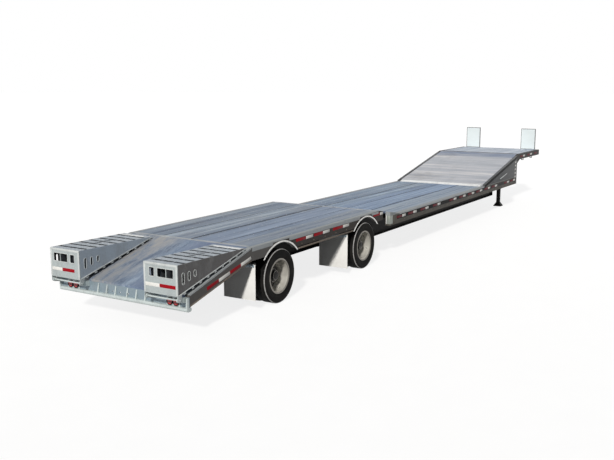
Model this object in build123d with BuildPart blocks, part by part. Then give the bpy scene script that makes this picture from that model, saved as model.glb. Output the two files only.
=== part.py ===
from build123d import *
from math import atan2, cos, degrees, radians, tan
import os

# Double drop deck trailer with a sloped tail and two flip-over loading ramps.
# Millimetres, +X forward, +Z up, origin on the ground under the middle of the trailer.

# Lengths along the trailer, from the rear face of the tail beam forward
tail_length = 1545.0
rear_axle_inset = 850.0
axle_spread = 3070.0
front_axle_inset = 565.0
transition_length = 995.0
main_deck_length = 5375.0
front_ramp_length = 3215.0
upper_deck_length = 2140.0
ramp_overhang = 210.0

# Heights of the floors above the ground
tail_height = 670.0
rear_deck_height = 1095.0
main_deck_height = 918.0
upper_deck_height = 1580.0

# Width over the side rails
half_width = 1295.0

# Axles and dual wheels; the tyres' radius follows from the room under the rear floor
tyre_room_above = 133.0
tyre_width = 245.0
tyre_tread_width = 205.0
rim_share = 0.617
rim_flange_height = 14.0
rim_thickness = 12.0
rim_width = 215.0
dual_spacing = 320.0
outer_tyre_face = 1276.0
wheel_disc_thickness = 44.0
hub_radius = 112.0
hub_nose_length = 125.0
hub_cap_radius = 78.0
hub_cap_length = 45.0
drum_rim_gap = 80.0
drum_depth = 150.0
hand_hole_radius = 28.0
hand_hole_inset = 50.0
hand_hole_count = 10
spindle_radius = 45.0
bearing_clearance = 0.3
axle_tube_radius = 63.0
wheel_inner_gap = 20.0

# Floors
floor_thickness = 35.0
plank_gap = 6.0
rear_plank_count = 8
main_plank_count = 8
upper_plank_count = 8
sill_length = 190.0
ramp_plank_count = 12
ramp_plank_gap = 10.0

# Main beams
beam_offset = 500.0
beam_web = 12.0
beam_flange_width = 150.0
beam_flange = 16.0
beam_axle_rise = 23.5
main_beam_bottom = 300.0
axle_notch_rise = 186.5
axle_notch_half_length = 90.0
axle_notch_slope = 100.0
neck_wall_setback = 219.0
coupler_height = 1195.0
coupler_plate_thickness = 12.0

# Cross-members, rolled I-sections
member_height = 100.0
member_width = 70.0
member_web = 6.0
member_flange = 8.0
member_pitch = 460.0
upper_member_pitch = 500.0
member_tyre_margin = 160.0
tail_member_shares = (0.15, 0.5, 0.85)
transition_member_shares = (0.15, 0.8)

# Side rails, pressed trays with the open side inwards
rail_wall = 8.0
rear_rail_depth = 80.0
rear_rail_height = 215.0
tail_rail_height = 184.0
rear_rail_overrun = 200.0
arch_top_margin = 53.0
arch_drop = 98.0
main_rail_depth = 110.0
main_rail_bottom = 704.0
main_rail_start = 550.0
main_rail_nose_gap = 15.0
upper_rail_bottom = 1420.0
rail_gusset_drop = 110.0
rail_gusset_length = 270.0
floor_side_gap = 1.0
trim_width = 26.0
trim_thickness = 5.0
trim_drop = 48.0

# Tie loops under the upper side rails
loop_places = (420.0, 1320.0)
loop_length = 40.0
loop_width = 60.0
loop_drop = 50.0
loop_wall = 12.0

# Panels beside the front ramp, with an upright post at the neck's wall
panel_depth = 60.0
panel_base_gap = 1.0
panel_nose_length = 90.0
post_width = 70.0
post_thickness = 5.0
post_top_gap = 60.0

# Upright panels at the front of the upper deck
headboard_setback = 28.0
headboard_inner = 700.0
headboard_outer = 1160.0
headboard_height = 660.0
headboard_thickness = 40.0
headboard_frame = 35.0
headboard_skin = 6.0

# Kingpin
kingpin_setback = 914.0
kingpin_upper_radius = 36.5
kingpin_neck_radius = 25.4
kingpin_head_radius = 35.7
kingpin_upper_length = 25.0
kingpin_neck_length = 34.0
kingpin_head_length = 25.0

# Landing gear
leg_setback_from_wall = 108.0
leg_offset = 800.0
leg_tube = 120.0
inner_leg = 96.0
leg_top = 1240.0
leg_tube_bottom = 520.0
shoe_base = 225.0
shoe_plate = 16.0
shoe_height = 120.0
leg_bracket_thickness = 16.0
leg_bracket_heights = (640.0, 1100.0)
leg_bracket_height = 110.0
shaft_radius = 20.0
shaft_height = 950.0
shaft_hole_clearance = 5.0

# Suspension
hanger_setback = 455.0
hanger_width = 90.0
hanger_length = 150.0
hanger_foot = 100.0
hanger_axle_drop = 183.5
arm_width = 76.0
arm_height = 95.0
arm_rear_reach = 200.0
arm_rear_drop = 60.0
air_spring_radius = 85.0

# Brake chambers behind the axles and the air tank under the main deck
chamber_radius = 78.0
chamber_length = 150.0
chamber_offset = 320.0
chamber_bracket_length = 40.0
chamber_bracket_size = 110.0
tank_radius = 130.0
tank_length = 660.0
tank_round = 45.0

# Mud flaps
flap_setback = 745.0
flap_inner = 660.0
flap_outer = 1288.0
flap_thickness = 8.0
flap_bottoms = {"rear": 205.0, "front": 140.0}
flap_rail_gap = 80.0
flap_bar_radius = 16.0

# Tail beam
tail_web = 14.0
tail_web_bottom = 425.0
tail_lip_height = 62.0
tail_lip_reach = 45.0
tail_lip_depth = 100.0
tail_lip_round = 28.0
tail_rib_thickness = 22.0
tail_rib_reach = 42.0
tail_end_plate = 20.0
tail_rib_places = (120.0, 300.0, 480.0)
tail_hole_radius = 13.0
tail_hole_places = (-130.0, 40.0, 190.0)
tail_hole_height = 535.0
lamp_radius = 54.0
lamp_depth = 24.0
lamp_gap = 1.0
lamp_box_margin = 14.0
lamp_box_depth = 12.0
lamp_box_round = 16.0
lamp_places = (955.0, 1072.0)
lamp_height = 546.0

# Flip-over ramps, stowed face down on the sloped tail
ramp_inner = 650.0
ramp_outer = 1275.0
ramp_side_plate = 12.0
ramp_rear_plate = 10.0
ramp_top_height = 1140.0
ramp_tip_setback = 145.0
ramp_tip_thickness = 20.0
ramp_tread = 14.0
cleat_height = 28.0
cleat_width = 44.0
cleat_count = 9
cleat_first = 150.0
ramp_rest_gap = 6.0
ramp_rear_lift = 75.0
rung_count = 8
rung_width = 130.0
rung_thickness = 24.0
rung_slot_length = 150.0
rung_slot_width = 56.0
slotted_rungs = (3, 4)
stringer_shares = (0.34, 0.66)
stringer_thickness = 10.0
window_inner_margin = 105.0
window_outer_margin = 76.0
window_bar = 60.0
window_top_margin = 75.0
window_height = 125.0
window_round = 16.0
slot_window_width = 90.0
side_slot_count = 3
side_slot_width = 44.0
side_slot_least = 60.0
side_slot_pitch = 131.0
side_slot_first = 120.0
side_slot_margin = 128.0
hinge_setback = 36.0
hinge_drop = 58.0
hinge_ear_radius = 34.0
hinge_pin_radius = 14.0
hinge_pin_clearance = 0.4
lug_thickness = 18.0
lug_gap = 6.0
lug_base_top = 640.0
lug_base_bottom = 555.0
pin_head_length = 8.0

# Places worked out from the lengths
tyre_radius = (rear_deck_height - floor_thickness - tyre_room_above) / 2
rim_radius = rim_share * tyre_radius
rim_flange_radius = rim_radius + rim_flange_height
drum_radius = rim_radius - drum_rim_gap
rear_beam_bottom = tyre_radius + beam_axle_rise
axle_notch_height = tyre_radius + axle_notch_rise
hanger_bottom = tyre_radius - hanger_axle_drop
rear_deck_length = rear_axle_inset + axle_spread + front_axle_inset
overall_length = (
    ramp_overhang + tail_length + rear_deck_length + transition_length
    + main_deck_length + front_ramp_length + upper_deck_length
)
tail_x = ramp_overhang - overall_length / 2
rear_deck_x = tail_x + tail_length
transition_x = rear_deck_x + rear_deck_length
main_deck_x = transition_x + transition_length
front_ramp_x = main_deck_x + main_deck_length
upper_deck_x = front_ramp_x + front_ramp_length
front_x = upper_deck_x + upper_deck_length
rear_axle_x = rear_deck_x + rear_axle_inset
front_axle_x = rear_axle_x + axle_spread
axle_places = {"rear": rear_axle_x, "front": front_axle_x}
wall_x = upper_deck_x - neck_wall_setback

tail_slope = degrees(atan2(rear_deck_height - tail_height, tail_length))
transition_slope = degrees(atan2(main_deck_height - rear_deck_height, transition_length))
front_ramp_slope = degrees(atan2(upper_deck_height - main_deck_height, front_ramp_length))


def tail_floor(x):
    """Height of the sloped tail's floor at x."""
    return tail_height + (x - tail_x) * tan(radians(tail_slope))


def front_ramp_floor_height(x):
    """Height of the front ramp's floor at x."""
    return main_deck_height + (x - front_ramp_x) * tan(radians(front_ramp_slope))


def transition_floor_height(x):
    """Height of the floor at x on the slope behind the main deck."""
    return rear_deck_height + (x - transition_x) * tan(radians(transition_slope))


def spread_places(low, high, pitch):
    """Places from low to high, evenly spread about that pitch apart."""
    count = max(1, round((high - low) / pitch))
    return [low + (high - low) * index / count for index in range(count + 1)]


def i_section(x, top, slope=0.0):
    """Rolled I-section whose top flange touches a floor of that slope at (x, top)."""
    pocket_width = (member_width - member_web) / 2
    pocket_height = member_height - 2 * member_flange
    pocket_x = (member_width + member_web) / 4
    with BuildSketch(Plane.XZ) as section:
        with Locations(Location((x, top, 0), (0, 0, slope))):
            Rectangle(member_width, member_height, align=(Align.CENTER, Align.MAX))
            with Locations((-pocket_x, -member_height / 2), (pocket_x, -member_height / 2)):
                Rectangle(pocket_width, pocket_height, mode=Mode.SUBTRACT)
    return section.sketch


def outline(points):
    """Face in the side view, from its corners."""
    with BuildSketch(Plane.XZ) as face:
        with BuildLine():
            Polyline(*points, close=True)
        make_face()
    return face.sketch


def rim_of(face, wall):
    """The border of a side-view face, as wide as the wall."""
    with BuildSketch(Plane.XZ) as border:
        add(face)
        offset(face, amount=-wall, mode=Mode.SUBTRACT)
    return border.sketch


def moved_to(face, y):
    """A side-view face moved to that distance from the middle."""
    return face.moved(Location((0, y, 0)))


def i_beam(face, y):
    """Welded beam of that side view, its flanges following the outline."""
    with BuildPart() as beam:
        extrude(moved_to(face, y), amount=beam_web / 2, both=True)
        extrude(moved_to(rim_of(face, beam_flange), y), amount=beam_flange_width / 2, both=True)
    return beam.part


def tray(face, depth, wall):
    """Pressed tray of that side view on the right side, open inwards."""
    with BuildPart() as pressing:
        extrude(moved_to(face, -half_width + wall), amount=wall)
        extrude(moved_to(rim_of(face, wall), -half_width), amount=-depth)
    return pressing.part


def finish(part, name):
    """Label a piece and write its file."""
    part.label = name
    export_step(part, f"parts/{name}.step")


def both_sides(part, name):
    """Write a right-hand piece and its mirror image in one file."""
    with BuildPart() as pair:
        add(part)
        mirror(part, about=Plane.XZ)
    finish(pair.part, name)


os.makedirs("parts", exist_ok=True)

# Rear beams: sloped under the tail, notched over the axles
tail_lift = 1 / cos(radians(tail_slope))
rear_beam_top = rear_deck_height - floor_thickness - member_height
tail_beam_start = tail_x + tail_web
tail_beam_bottom = tail_web_bottom + tail_lip_height
tail_beam_drop = floor_thickness + member_height * tail_lift
rear_beam_knee = rear_deck_x + (rear_beam_top - rear_deck_height + tail_beam_drop) / tan(radians(tail_slope))
rear_beam_end = transition_x
main_beam_top = main_deck_height - floor_thickness - member_height
rear_beam_corners = [
    (tail_beam_start, tail_beam_bottom),
    (tail_beam_start, tail_floor(tail_beam_start) - tail_beam_drop),
    (rear_beam_knee, rear_beam_top),
    (rear_beam_end, rear_beam_top),
    (rear_beam_end, rear_beam_bottom),
]
for axle_x in (front_axle_x, rear_axle_x):
    rear_beam_corners += [
        (axle_x + axle_notch_half_length + axle_notch_slope, rear_beam_bottom),
        (axle_x + axle_notch_half_length, axle_notch_height),
        (axle_x - axle_notch_half_length, axle_notch_height),
        (axle_x - axle_notch_half_length - axle_notch_slope, rear_beam_bottom),
    ]
rear_beam_corners.append((tail_beam_start + tail_length, rear_beam_bottom))
rear_beam_face = outline(rear_beam_corners)
both_sides(i_beam(rear_beam_face, -beam_offset), "rear_beams")

# Main beams: under the transition, the well deck and the front ramp, up to the neck's wall
slope_drop = member_height / cos(radians(transition_slope))
main_beam_corners = [
    (rear_beam_end, main_beam_bottom),
    (wall_x, main_beam_bottom),
    (wall_x, front_ramp_floor_height(wall_x) - floor_thickness),
    (front_ramp_x, main_deck_height - floor_thickness),
    (front_ramp_x, main_beam_top),
    (main_deck_x + member_width / 2, main_beam_top),
    (main_deck_x, main_deck_height - floor_thickness - slope_drop),
    (rear_beam_end, rear_deck_height - floor_thickness - slope_drop),
]
main_beam_face = outline(main_beam_corners)
leg_x = wall_x - leg_setback_from_wall
with BuildSketch(Plane.XZ) as pierced_face:
    add(main_beam_face)
    with Locations((leg_x, shaft_height)):
        Circle(shaft_radius + shaft_hole_clearance, mode=Mode.SUBTRACT)
with BuildPart() as main_beam:
    extrude(moved_to(pierced_face.sketch, -beam_offset), amount=beam_web / 2, both=True)
    extrude(
        moved_to(rim_of(main_beam_face, beam_flange), -beam_offset),
        amount=beam_flange_width / 2,
        both=True,
    )
both_sides(main_beam.part, "main_beams")

# Neck beams: the shallow beams over the kingpin plate
upper_beam_top = upper_deck_height - floor_thickness - member_height
neck_beam_face = outline([
    (wall_x, coupler_height),
    (front_x - rail_wall, coupler_height),
    (front_x - rail_wall, upper_beam_top),
    (wall_x, upper_beam_top),
])
both_sides(i_beam(neck_beam_face, -beam_offset), "neck_beams")

# Cross-members of every deck, short where the tyres need the room
tyre_room = tyre_radius + member_tyre_margin
rail_reach = half_width - rail_wall
beam_reach = beam_offset + beam_flange_width / 2
upper_member_last = front_x - rail_wall - member_width / 2
main_member_places = spread_places(main_deck_x + member_width, front_ramp_x - member_width, member_pitch)
with BuildPart() as members:
    for share in tail_member_shares:
        x = tail_x + share * tail_length
        under = tail_floor(x) - floor_thickness
        extrude(i_section(x, under, tail_slope), amount=rail_reach, both=True)
    for x in spread_places(rear_deck_x + member_width, transition_x - member_width, member_pitch):
        over_axle = min(abs(x - rear_axle_x), abs(x - front_axle_x)) < tyre_room
        reach = beam_reach if over_axle else rail_reach
        extrude(i_section(x, rear_deck_height - floor_thickness), amount=reach, both=True)
    for share in transition_member_shares:
        x = transition_x + share * transition_length
        under = transition_floor_height(x) - floor_thickness
        extrude(i_section(x, under, transition_slope), amount=rail_reach, both=True)
    for x in main_member_places:
        extrude(i_section(x, main_deck_height - floor_thickness), amount=rail_reach, both=True)
    for x in spread_places(upper_deck_x + member_width, upper_member_last, upper_member_pitch):
        extrude(i_section(x, upper_deck_height - floor_thickness), amount=rail_reach, both=True)
finish(members.part, "crossmembers")

# Rear side rails with wheel arches, running down beside the sloped tail
rear_rail_end = transition_x + rear_rail_overrun
rear_rail_bottom = rear_deck_height - rear_rail_height
arch_middle = tyre_radius - arch_drop
arch_radius = rear_deck_height - arch_top_margin - arch_middle
with BuildSketch(Plane.XZ) as rear_rail_face:
    add(outline([
        (tail_x + tail_web, tail_floor(tail_x + tail_web) - tail_rail_height),
        (rear_deck_x, rear_rail_bottom),
        (rear_rail_end, rear_rail_bottom),
        (rear_rail_end, transition_floor_height(rear_rail_end)),
        (transition_x, rear_deck_height),
        (rear_deck_x, rear_deck_height),
        (tail_x + tail_web, tail_floor(tail_x + tail_web)),
    ]))
    with Locations((rear_axle_x, arch_middle), (front_axle_x, arch_middle)):
        Circle(arch_radius, mode=Mode.SUBTRACT)
both_sides(tray(rear_rail_face.sketch, rear_rail_depth, rail_wall), "rear_rails")

# Bright trims around the wheel arches
trim_radius = arch_radius + trim_width
with BuildSketch(Plane.XZ) as trim_face:
    with Locations((rear_axle_x, arch_middle), (front_axle_x, arch_middle)):
        Circle(trim_radius)
        Circle(arch_radius, mode=Mode.SUBTRACT)
    with Locations(((rear_axle_x + front_axle_x) / 2, rear_rail_bottom - trim_drop)):
        Rectangle(
            axle_spread + 3 * trim_radius,
            3 * trim_radius,
            align=(Align.CENTER, Align.MAX),
            mode=Mode.SUBTRACT,
        )
with BuildPart() as arch_trims:
    extrude(moved_to(trim_face.sketch, -half_width), amount=trim_thickness)
    extrude(moved_to(trim_face.sketch, half_width), amount=-trim_thickness)
finish(arch_trims.part, "wheel_arch_trims")

# Main side rails, their rear ends cut to the transition's slope
main_rail_x = transition_x + main_rail_start
main_rail_nose = wall_x - main_rail_nose_gap
main_rail_face = outline([
    (main_rail_x, main_rail_bottom),
    (main_rail_nose, main_rail_bottom),
    (main_rail_nose, main_deck_height),
    (main_deck_x, main_deck_height),
    (main_rail_x, transition_floor_height(main_rail_x)),
])
both_sides(tray(main_rail_face, main_rail_depth, rail_wall), "main_rails")

# Upper side rails
upper_rail_face = outline([
    (wall_x, upper_rail_bottom - rail_gusset_drop),
    (wall_x + rail_gusset_length, upper_rail_bottom),
    (front_x, upper_rail_bottom),
    (front_x, upper_deck_height),
    (upper_deck_x, upper_deck_height),
    (wall_x, front_ramp_floor_height(wall_x)),
])
both_sides(tray(upper_rail_face, rear_rail_depth, rail_wall), "upper_rails")

# Tie loops under the upper side rails
with BuildPart() as loops:
    for place in loop_places:
        for side in (-1, 1):
            with Locations((
                upper_deck_x + place,
                side * (half_width - loop_width / 2),
                upper_rail_bottom - loop_drop / 2,
            )):
                Box(loop_length, loop_width, loop_drop)
                with Locations((0, 0, loop_wall)):
                    Box(loop_length, loop_width - 2 * loop_wall, loop_drop, mode=Mode.SUBTRACT)
finish(loops.part, "tie_loops")

# Panels that close the sides of the front ramp, each with its post
panel_foot = front_ramp_x + panel_nose_length
panel_base = main_deck_height + panel_base_gap
panel_top = front_ramp_floor_height(wall_x)
panel_face = outline([
    (panel_foot, panel_base),
    (wall_x, panel_base),
    (wall_x, panel_top),
    (panel_foot, front_ramp_floor_height(panel_foot)),
])
with BuildPart() as panel:
    add(tray(panel_face, panel_depth, rail_wall))
    with Locations((
        wall_x - post_width / 2,
        -half_width - post_thickness / 2,
        (main_rail_bottom + panel_top - post_top_gap) / 2,
    )):
        Box(post_width, post_thickness, panel_top - post_top_gap - main_rail_bottom)
both_sides(panel.part, "front_ramp_panels")


def sloped_plank(x_low, x_high, floor_height, half_span):
    """Floor plank across the trailer on a slope, between two places."""
    with BuildSketch(Plane.XZ) as side_view:
        add(outline([
            (x_low, floor_height(x_low)),
            (x_high, floor_height(x_high)),
            (x_high, floor_height(x_high) - floor_thickness),
            (x_low, floor_height(x_low) - floor_thickness),
        ]))
    with BuildPart() as plank:
        extrude(side_view.sketch, amount=half_span, both=True)
    return plank.part


def lengthwise_planks(x_low, x_high, height, half_span, count):
    """Row of floor planks that run along the trailer."""
    pitch = (2 * half_span + plank_gap) / count
    with BuildPart() as planks:
        with Locations(((x_low + x_high) / 2, 0, height - floor_thickness / 2)):
            with GridLocations(0, pitch, 1, count):
                Box(x_high - x_low, pitch - plank_gap, floor_thickness)
    return planks.part


# Floors
rear_floor_half = half_width - rear_rail_depth - floor_side_gap
main_floor_half = half_width - main_rail_depth - floor_side_gap
finish(sloped_plank(tail_x, rear_deck_x, tail_floor, rear_floor_half), "tail_floor")
finish(
    lengthwise_planks(rear_deck_x, transition_x, rear_deck_height, rear_floor_half, rear_plank_count),
    "rear_deck",
)
finish(
    sloped_plank(transition_x, main_deck_x, transition_floor_height, main_floor_half),
    "transition_floor",
)
finish(
    lengthwise_planks(main_deck_x, front_ramp_x, main_deck_height, main_floor_half, main_plank_count),
    "main_deck",
)
sill_end = front_ramp_x + sill_length
finish(
    sloped_plank(front_ramp_x, sill_end - ramp_plank_gap, front_ramp_floor_height, main_floor_half),
    "front_ramp_sill",
)
ramp_pitch = (upper_deck_x - sill_end) / ramp_plank_count
with BuildPart() as front_ramp:
    for index in range(ramp_plank_count):
        low = sill_end + index * ramp_pitch
        add(sloped_plank(low, low + ramp_pitch - ramp_plank_gap, front_ramp_floor_height, rear_floor_half))
finish(front_ramp.part, "front_ramp_floor")
finish(
    lengthwise_planks(
        upper_deck_x, front_x - rail_wall, upper_deck_height, rear_floor_half, upper_plank_count
    ),
    "upper_deck",
)

# Front bolster across the nose
with BuildPart() as bolster:
    with Locations((front_x - rail_wall / 2, 0, (upper_rail_bottom + upper_deck_height) / 2)):
        Box(rail_wall, 2 * (half_width - rear_rail_depth), upper_deck_height - upper_rail_bottom)
finish(bolster.part, "front_bolster")

# Headboard panels: framed sheets standing on the upper deck
headboard_width = headboard_outer - headboard_inner
with BuildPart() as headboard:
    with Locations((
        front_x - headboard_setback,
        -(headboard_inner + headboard_outer) / 2,
        upper_deck_height + headboard_height / 2,
    )):
        Box(headboard_thickness, headboard_width, headboard_height)
        with Locations((headboard_skin, 0, 0)):
            Box(
                headboard_thickness,
                headboard_width - 2 * headboard_frame,
                headboard_height - 2 * headboard_frame,
                mode=Mode.SUBTRACT,
            )
both_sides(headboard.part, "headboards")

# Coupler plate and kingpin
with BuildPart() as coupler:
    with Locations(((wall_x + front_x - rail_wall) / 2, 0, coupler_height - coupler_plate_thickness / 2)):
        Box(front_x - rail_wall - wall_x, 2 * beam_reach, coupler_plate_thickness)
finish(coupler.part, "coupler_plate")
kingpin_x = front_x - kingpin_setback
plate_face = coupler_height - coupler_plate_thickness
with BuildPart() as kingpin:
    with BuildSketch(Plane.XZ):
        with BuildLine():
            Polyline(
                (0, 0),
                (kingpin_upper_radius, 0),
                (kingpin_upper_radius, -kingpin_upper_length),
                (kingpin_neck_radius, -kingpin_upper_length),
                (kingpin_neck_radius, -kingpin_upper_length - kingpin_neck_length),
                (kingpin_head_radius, -kingpin_upper_length - kingpin_neck_length),
                (kingpin_head_radius, -kingpin_upper_length - kingpin_neck_length - kingpin_head_length),
                (0, -kingpin_upper_length - kingpin_neck_length - kingpin_head_length),
                close=True,
            )
        make_face()
    revolve(axis=Axis.Z)
finish(kingpin.part.moved(Location((kingpin_x, 0, plate_face))), "kingpin")

# Landing gear: outer tube, inner leg and flared sand shoe on each side
bracket_inner = beam_offset + beam_web / 2
bracket_outer = leg_offset - leg_tube / 2
with BuildPart() as leg:
    with Locations((leg_x, -leg_offset, (leg_top + leg_tube_bottom) / 2)):
        Box(leg_tube, leg_tube, leg_top - leg_tube_bottom)
    with Locations((leg_x, -leg_offset, (leg_tube_bottom + shoe_height) / 2)):
        Box(inner_leg, inner_leg, leg_tube_bottom - shoe_height)
    with Locations((leg_x, -leg_offset, shoe_plate / 2)):
        Box(shoe_base, shoe_base, shoe_plate)
    with BuildSketch(Plane.XY.offset(shoe_plate)):
        with Locations((leg_x, -leg_offset)):
            Rectangle(shoe_base, shoe_base)
    with BuildSketch(Plane.XY.offset(shoe_height)):
        with Locations((leg_x, -leg_offset)):
            Rectangle(inner_leg, inner_leg)
    loft()
    for height in leg_bracket_heights:
        with Locations((leg_x, -(bracket_inner + bracket_outer) / 2, height)):
            Box(leg_bracket_thickness, bracket_outer - bracket_inner, leg_bracket_height)
both_sides(leg.part, "landing_legs")
with BuildPart() as cross_shaft:
    with Locations(Location((leg_x, 0, shaft_height), (90, 0, 0))):
        Cylinder(shaft_radius, 2 * (leg_offset - leg_tube / 2))
finish(cross_shaft.part, "landing_gear_shaft")

# Mud flaps on bars that reach out from the rear beams
flap_top = rear_rail_bottom - flap_rail_gap
with BuildPart() as flaps:
    for name, axle_x in axle_places.items():
        flap_length = flap_top - flap_bottoms[name]
        for side in (-1, 1):
            middle = side * (flap_inner + flap_outer) / 2
            with Locations((axle_x - flap_setback, middle, flap_top - flap_length / 2)):
                Box(flap_thickness, flap_outer - flap_inner, flap_length)
finish(flaps.part, "mud_flaps")
bar_start = beam_offset + beam_web / 2
with BuildPart() as flap_bars:
    for axle_x in axle_places.values():
        for side in (-1, 1):
            middle = side * (bar_start + flap_outer) / 2
            with Locations(Location((axle_x - flap_setback, middle, flap_top + flap_bar_radius), (90, 0, 0))):
                Cylinder(flap_bar_radius, flap_outer - bar_start)
finish(flap_bars.part, "mud_flap_bars")

# Tail beam: web, rounded lower lip, ribs, plate holes and the lugs for the ramps' hinges
ramp_rear_x = tail_x - ramp_overhang
hinge_x = ramp_rear_x + hinge_setback
tip_x = rear_deck_x - ramp_tip_setback
ramp_tip_lift = (cleat_height + ramp_rest_gap) / cos(radians(tail_slope))


def ramp_underside(x):
    """Height of the stowed ramp's tread plate at x, closer to the tail's floor at the tip."""
    share = (x - ramp_rear_x) / (tip_x - ramp_rear_x)
    return tail_floor(x) + ramp_rear_lift + share * (ramp_tip_lift - ramp_rear_lift)


hinge_z = ramp_underside(ramp_rear_x) - hinge_drop
web_top = tail_height - floor_thickness
lug_inner = ramp_inner + ramp_side_plate + lug_gap
lug_outer = ramp_outer - ramp_side_plate - lug_gap
lug_middles = (lug_inner + lug_thickness / 2, lug_outer - lug_thickness / 2)
with BuildSketch(Plane.XZ) as lug_face:
    with BuildLine():
        Polyline(
            (tail_x, lug_base_top),
            (tail_x, lug_base_bottom),
            (hinge_x, hinge_z - hinge_ear_radius),
            (hinge_x, hinge_z + hinge_ear_radius),
            close=True,
        )
    make_face()
    with Locations((hinge_x, hinge_z)):
        Circle(hinge_ear_radius)
        Circle(hinge_pin_radius, mode=Mode.SUBTRACT)
rib_foot = tail_web_bottom + tail_lip_height / 2
rib_face = outline([(tail_x, web_top), (tail_x, rib_foot), (tail_x - tail_rib_reach, rib_foot)])
end_depth = tail_lip_reach + tail_web
with BuildSketch(Plane.XZ) as end_face:
    with Locations((tail_x + tail_web - end_depth / 2, (web_top + tail_web_bottom) / 2)):
        RectangleRounded(end_depth, web_top - tail_web_bottom, tail_lip_round)
lamp_box_height = 2 * (lamp_radius + lamp_box_margin)
lamp_box_width = max(lamp_places) - min(lamp_places) + lamp_box_height
with BuildPart() as tail_beam:
    with Locations((tail_x + tail_web / 2, 0, (web_top + tail_web_bottom) / 2)):
        Box(tail_web, 2 * half_width, web_top - tail_web_bottom)
    with BuildSketch(Plane.XZ):
        with Locations((tail_x - tail_lip_reach + tail_lip_depth / 2, tail_web_bottom + tail_lip_height / 2)):
            RectangleRounded(tail_lip_depth, tail_lip_height, tail_lip_round)
    extrude(amount=half_width, both=True)
    for side in (-1, 1):
        for place in tail_rib_places:
            extrude(moved_to(rib_face, side * place), amount=tail_rib_thickness / 2, both=True)
        for middle in lug_middles:
            extrude(moved_to(lug_face.sketch, side * middle), amount=lug_thickness / 2, both=True)
        end_middle = side * (half_width - tail_end_plate / 2)
        extrude(moved_to(end_face.sketch, end_middle), amount=tail_end_plate / 2, both=True)
        with BuildSketch(Plane(origin=(tail_x, 0, 0), x_dir=(0, 1, 0), z_dir=(1, 0, 0))):
            with Locations((side * sum(lamp_places) / len(lamp_places), lamp_height)):
                RectangleRounded(lamp_box_width, lamp_box_height, lamp_box_round)
            with Locations(*[(side * place, lamp_height) for place in lamp_places]):
                Circle(lamp_radius + lamp_gap, mode=Mode.SUBTRACT)
        extrude(amount=-lamp_box_depth)
    with Locations(*[Location((tail_x, y, tail_hole_height), (0, 90, 0)) for y in tail_hole_places]):
        Cylinder(tail_hole_radius, 4 * tail_web, mode=Mode.SUBTRACT)
finish(tail_beam.part, "tail_beam")

# Tail lamps, two on each side
with BuildPart() as lamps:
    for place in lamp_places:
        for side in (-1, 1):
            with Locations(Location((tail_x - lamp_depth / 2, side * place, lamp_height), (0, 90, 0))):
                Cylinder(lamp_radius, lamp_depth)
finish(lamps.part, "tail_lamps")

# Hinge pins of the ramps
with BuildPart() as pins:
    for side in (-1, 1):
        with Locations(Location((hinge_x, side * (ramp_inner + ramp_outer) / 2, hinge_z), (90, 0, 0))):
            Cylinder(hinge_pin_radius, ramp_outer - ramp_inner + 2 * pin_head_length)
finish(pins.part, "ramp_hinge_pins")

# Flip-over ramps: wedge side plates, rungs, cleated tread plate and a windowed rear plate
tip_top = ramp_underside(tip_x) + ramp_tip_thickness
tread_slope = degrees(atan2(ramp_underside(tip_x) - ramp_underside(ramp_rear_x), tip_x - ramp_rear_x))
top_slope = degrees(atan2(tip_top - ramp_top_height, tip_x - ramp_rear_x))


def ramp_topside(x):
    """Height of the stowed ramp's upper edge at x."""
    return ramp_top_height + (x - ramp_rear_x) * tan(radians(top_slope))


with BuildSketch(Plane.XZ) as ramp_side_face:
    with BuildLine():
        Polyline(
            (ramp_rear_x, ramp_underside(ramp_rear_x)),
            (tip_x, ramp_underside(tip_x)),
            (tip_x, tip_top),
            (ramp_rear_x, ramp_top_height),
            close=True,
        )
    make_face()
    for index in range(side_slot_count):
        x = ramp_rear_x + side_slot_first + index * side_slot_pitch
        slot_length = max(side_slot_least, ramp_topside(x) - ramp_underside(x) - 2 * side_slot_margin)
        with Locations(Location((x, (ramp_topside(x) + ramp_underside(x)) / 2, 0), (0, 0, 90))):
            SlotOverall(slot_length, side_slot_width, mode=Mode.SUBTRACT)
with BuildSketch(Plane.XZ) as ear_face:
    with BuildLine():
        Polyline(
            (hinge_x - hinge_ear_radius, hinge_z),
            (hinge_x + hinge_ear_radius, hinge_z),
            (hinge_x + 2 * hinge_ear_radius, ramp_underside(hinge_x) + hinge_drop),
            (hinge_x - hinge_ear_radius, ramp_underside(hinge_x) + hinge_drop),
            close=True,
        )
    make_face()
    with Locations((hinge_x, hinge_z)):
        Circle(hinge_ear_radius)
        Circle(hinge_pin_radius + hinge_pin_clearance, mode=Mode.SUBTRACT)
tread_face = outline([
    (ramp_rear_x, ramp_underside(ramp_rear_x)),
    (tip_x, ramp_underside(tip_x)),
    (tip_x, ramp_underside(tip_x) + ramp_tread),
    (ramp_rear_x, ramp_underside(ramp_rear_x) + ramp_tread),
])
ramp_width = ramp_outer - ramp_inner
ramp_middle = -(ramp_inner + ramp_outer) / 2
slot_window_end = ramp_inner + window_inner_margin + slot_window_width
wide_window_end = ramp_outer - window_outer_margin
wide_window_width = wide_window_end - slot_window_end - window_bar
rear_plate_bottom = ramp_underside(ramp_rear_x)
with BuildSketch(Plane(origin=(ramp_rear_x, 0, 0), x_dir=(0, 1, 0), z_dir=(1, 0, 0))) as rear_plate_face:
    with Locations((ramp_middle, (rear_plate_bottom + ramp_top_height) / 2)):
        Rectangle(ramp_width, ramp_top_height - rear_plate_bottom)
    window_middle = ramp_top_height - window_top_margin - window_height / 2
    with Locations((-slot_window_end + slot_window_width / 2, window_middle)):
        RectangleRounded(slot_window_width, window_height, window_round, mode=Mode.SUBTRACT)
    with Locations((-wide_window_end + wide_window_width / 2, window_middle)):
        RectangleRounded(wide_window_width, window_height, window_round, mode=Mode.SUBTRACT)
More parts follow.
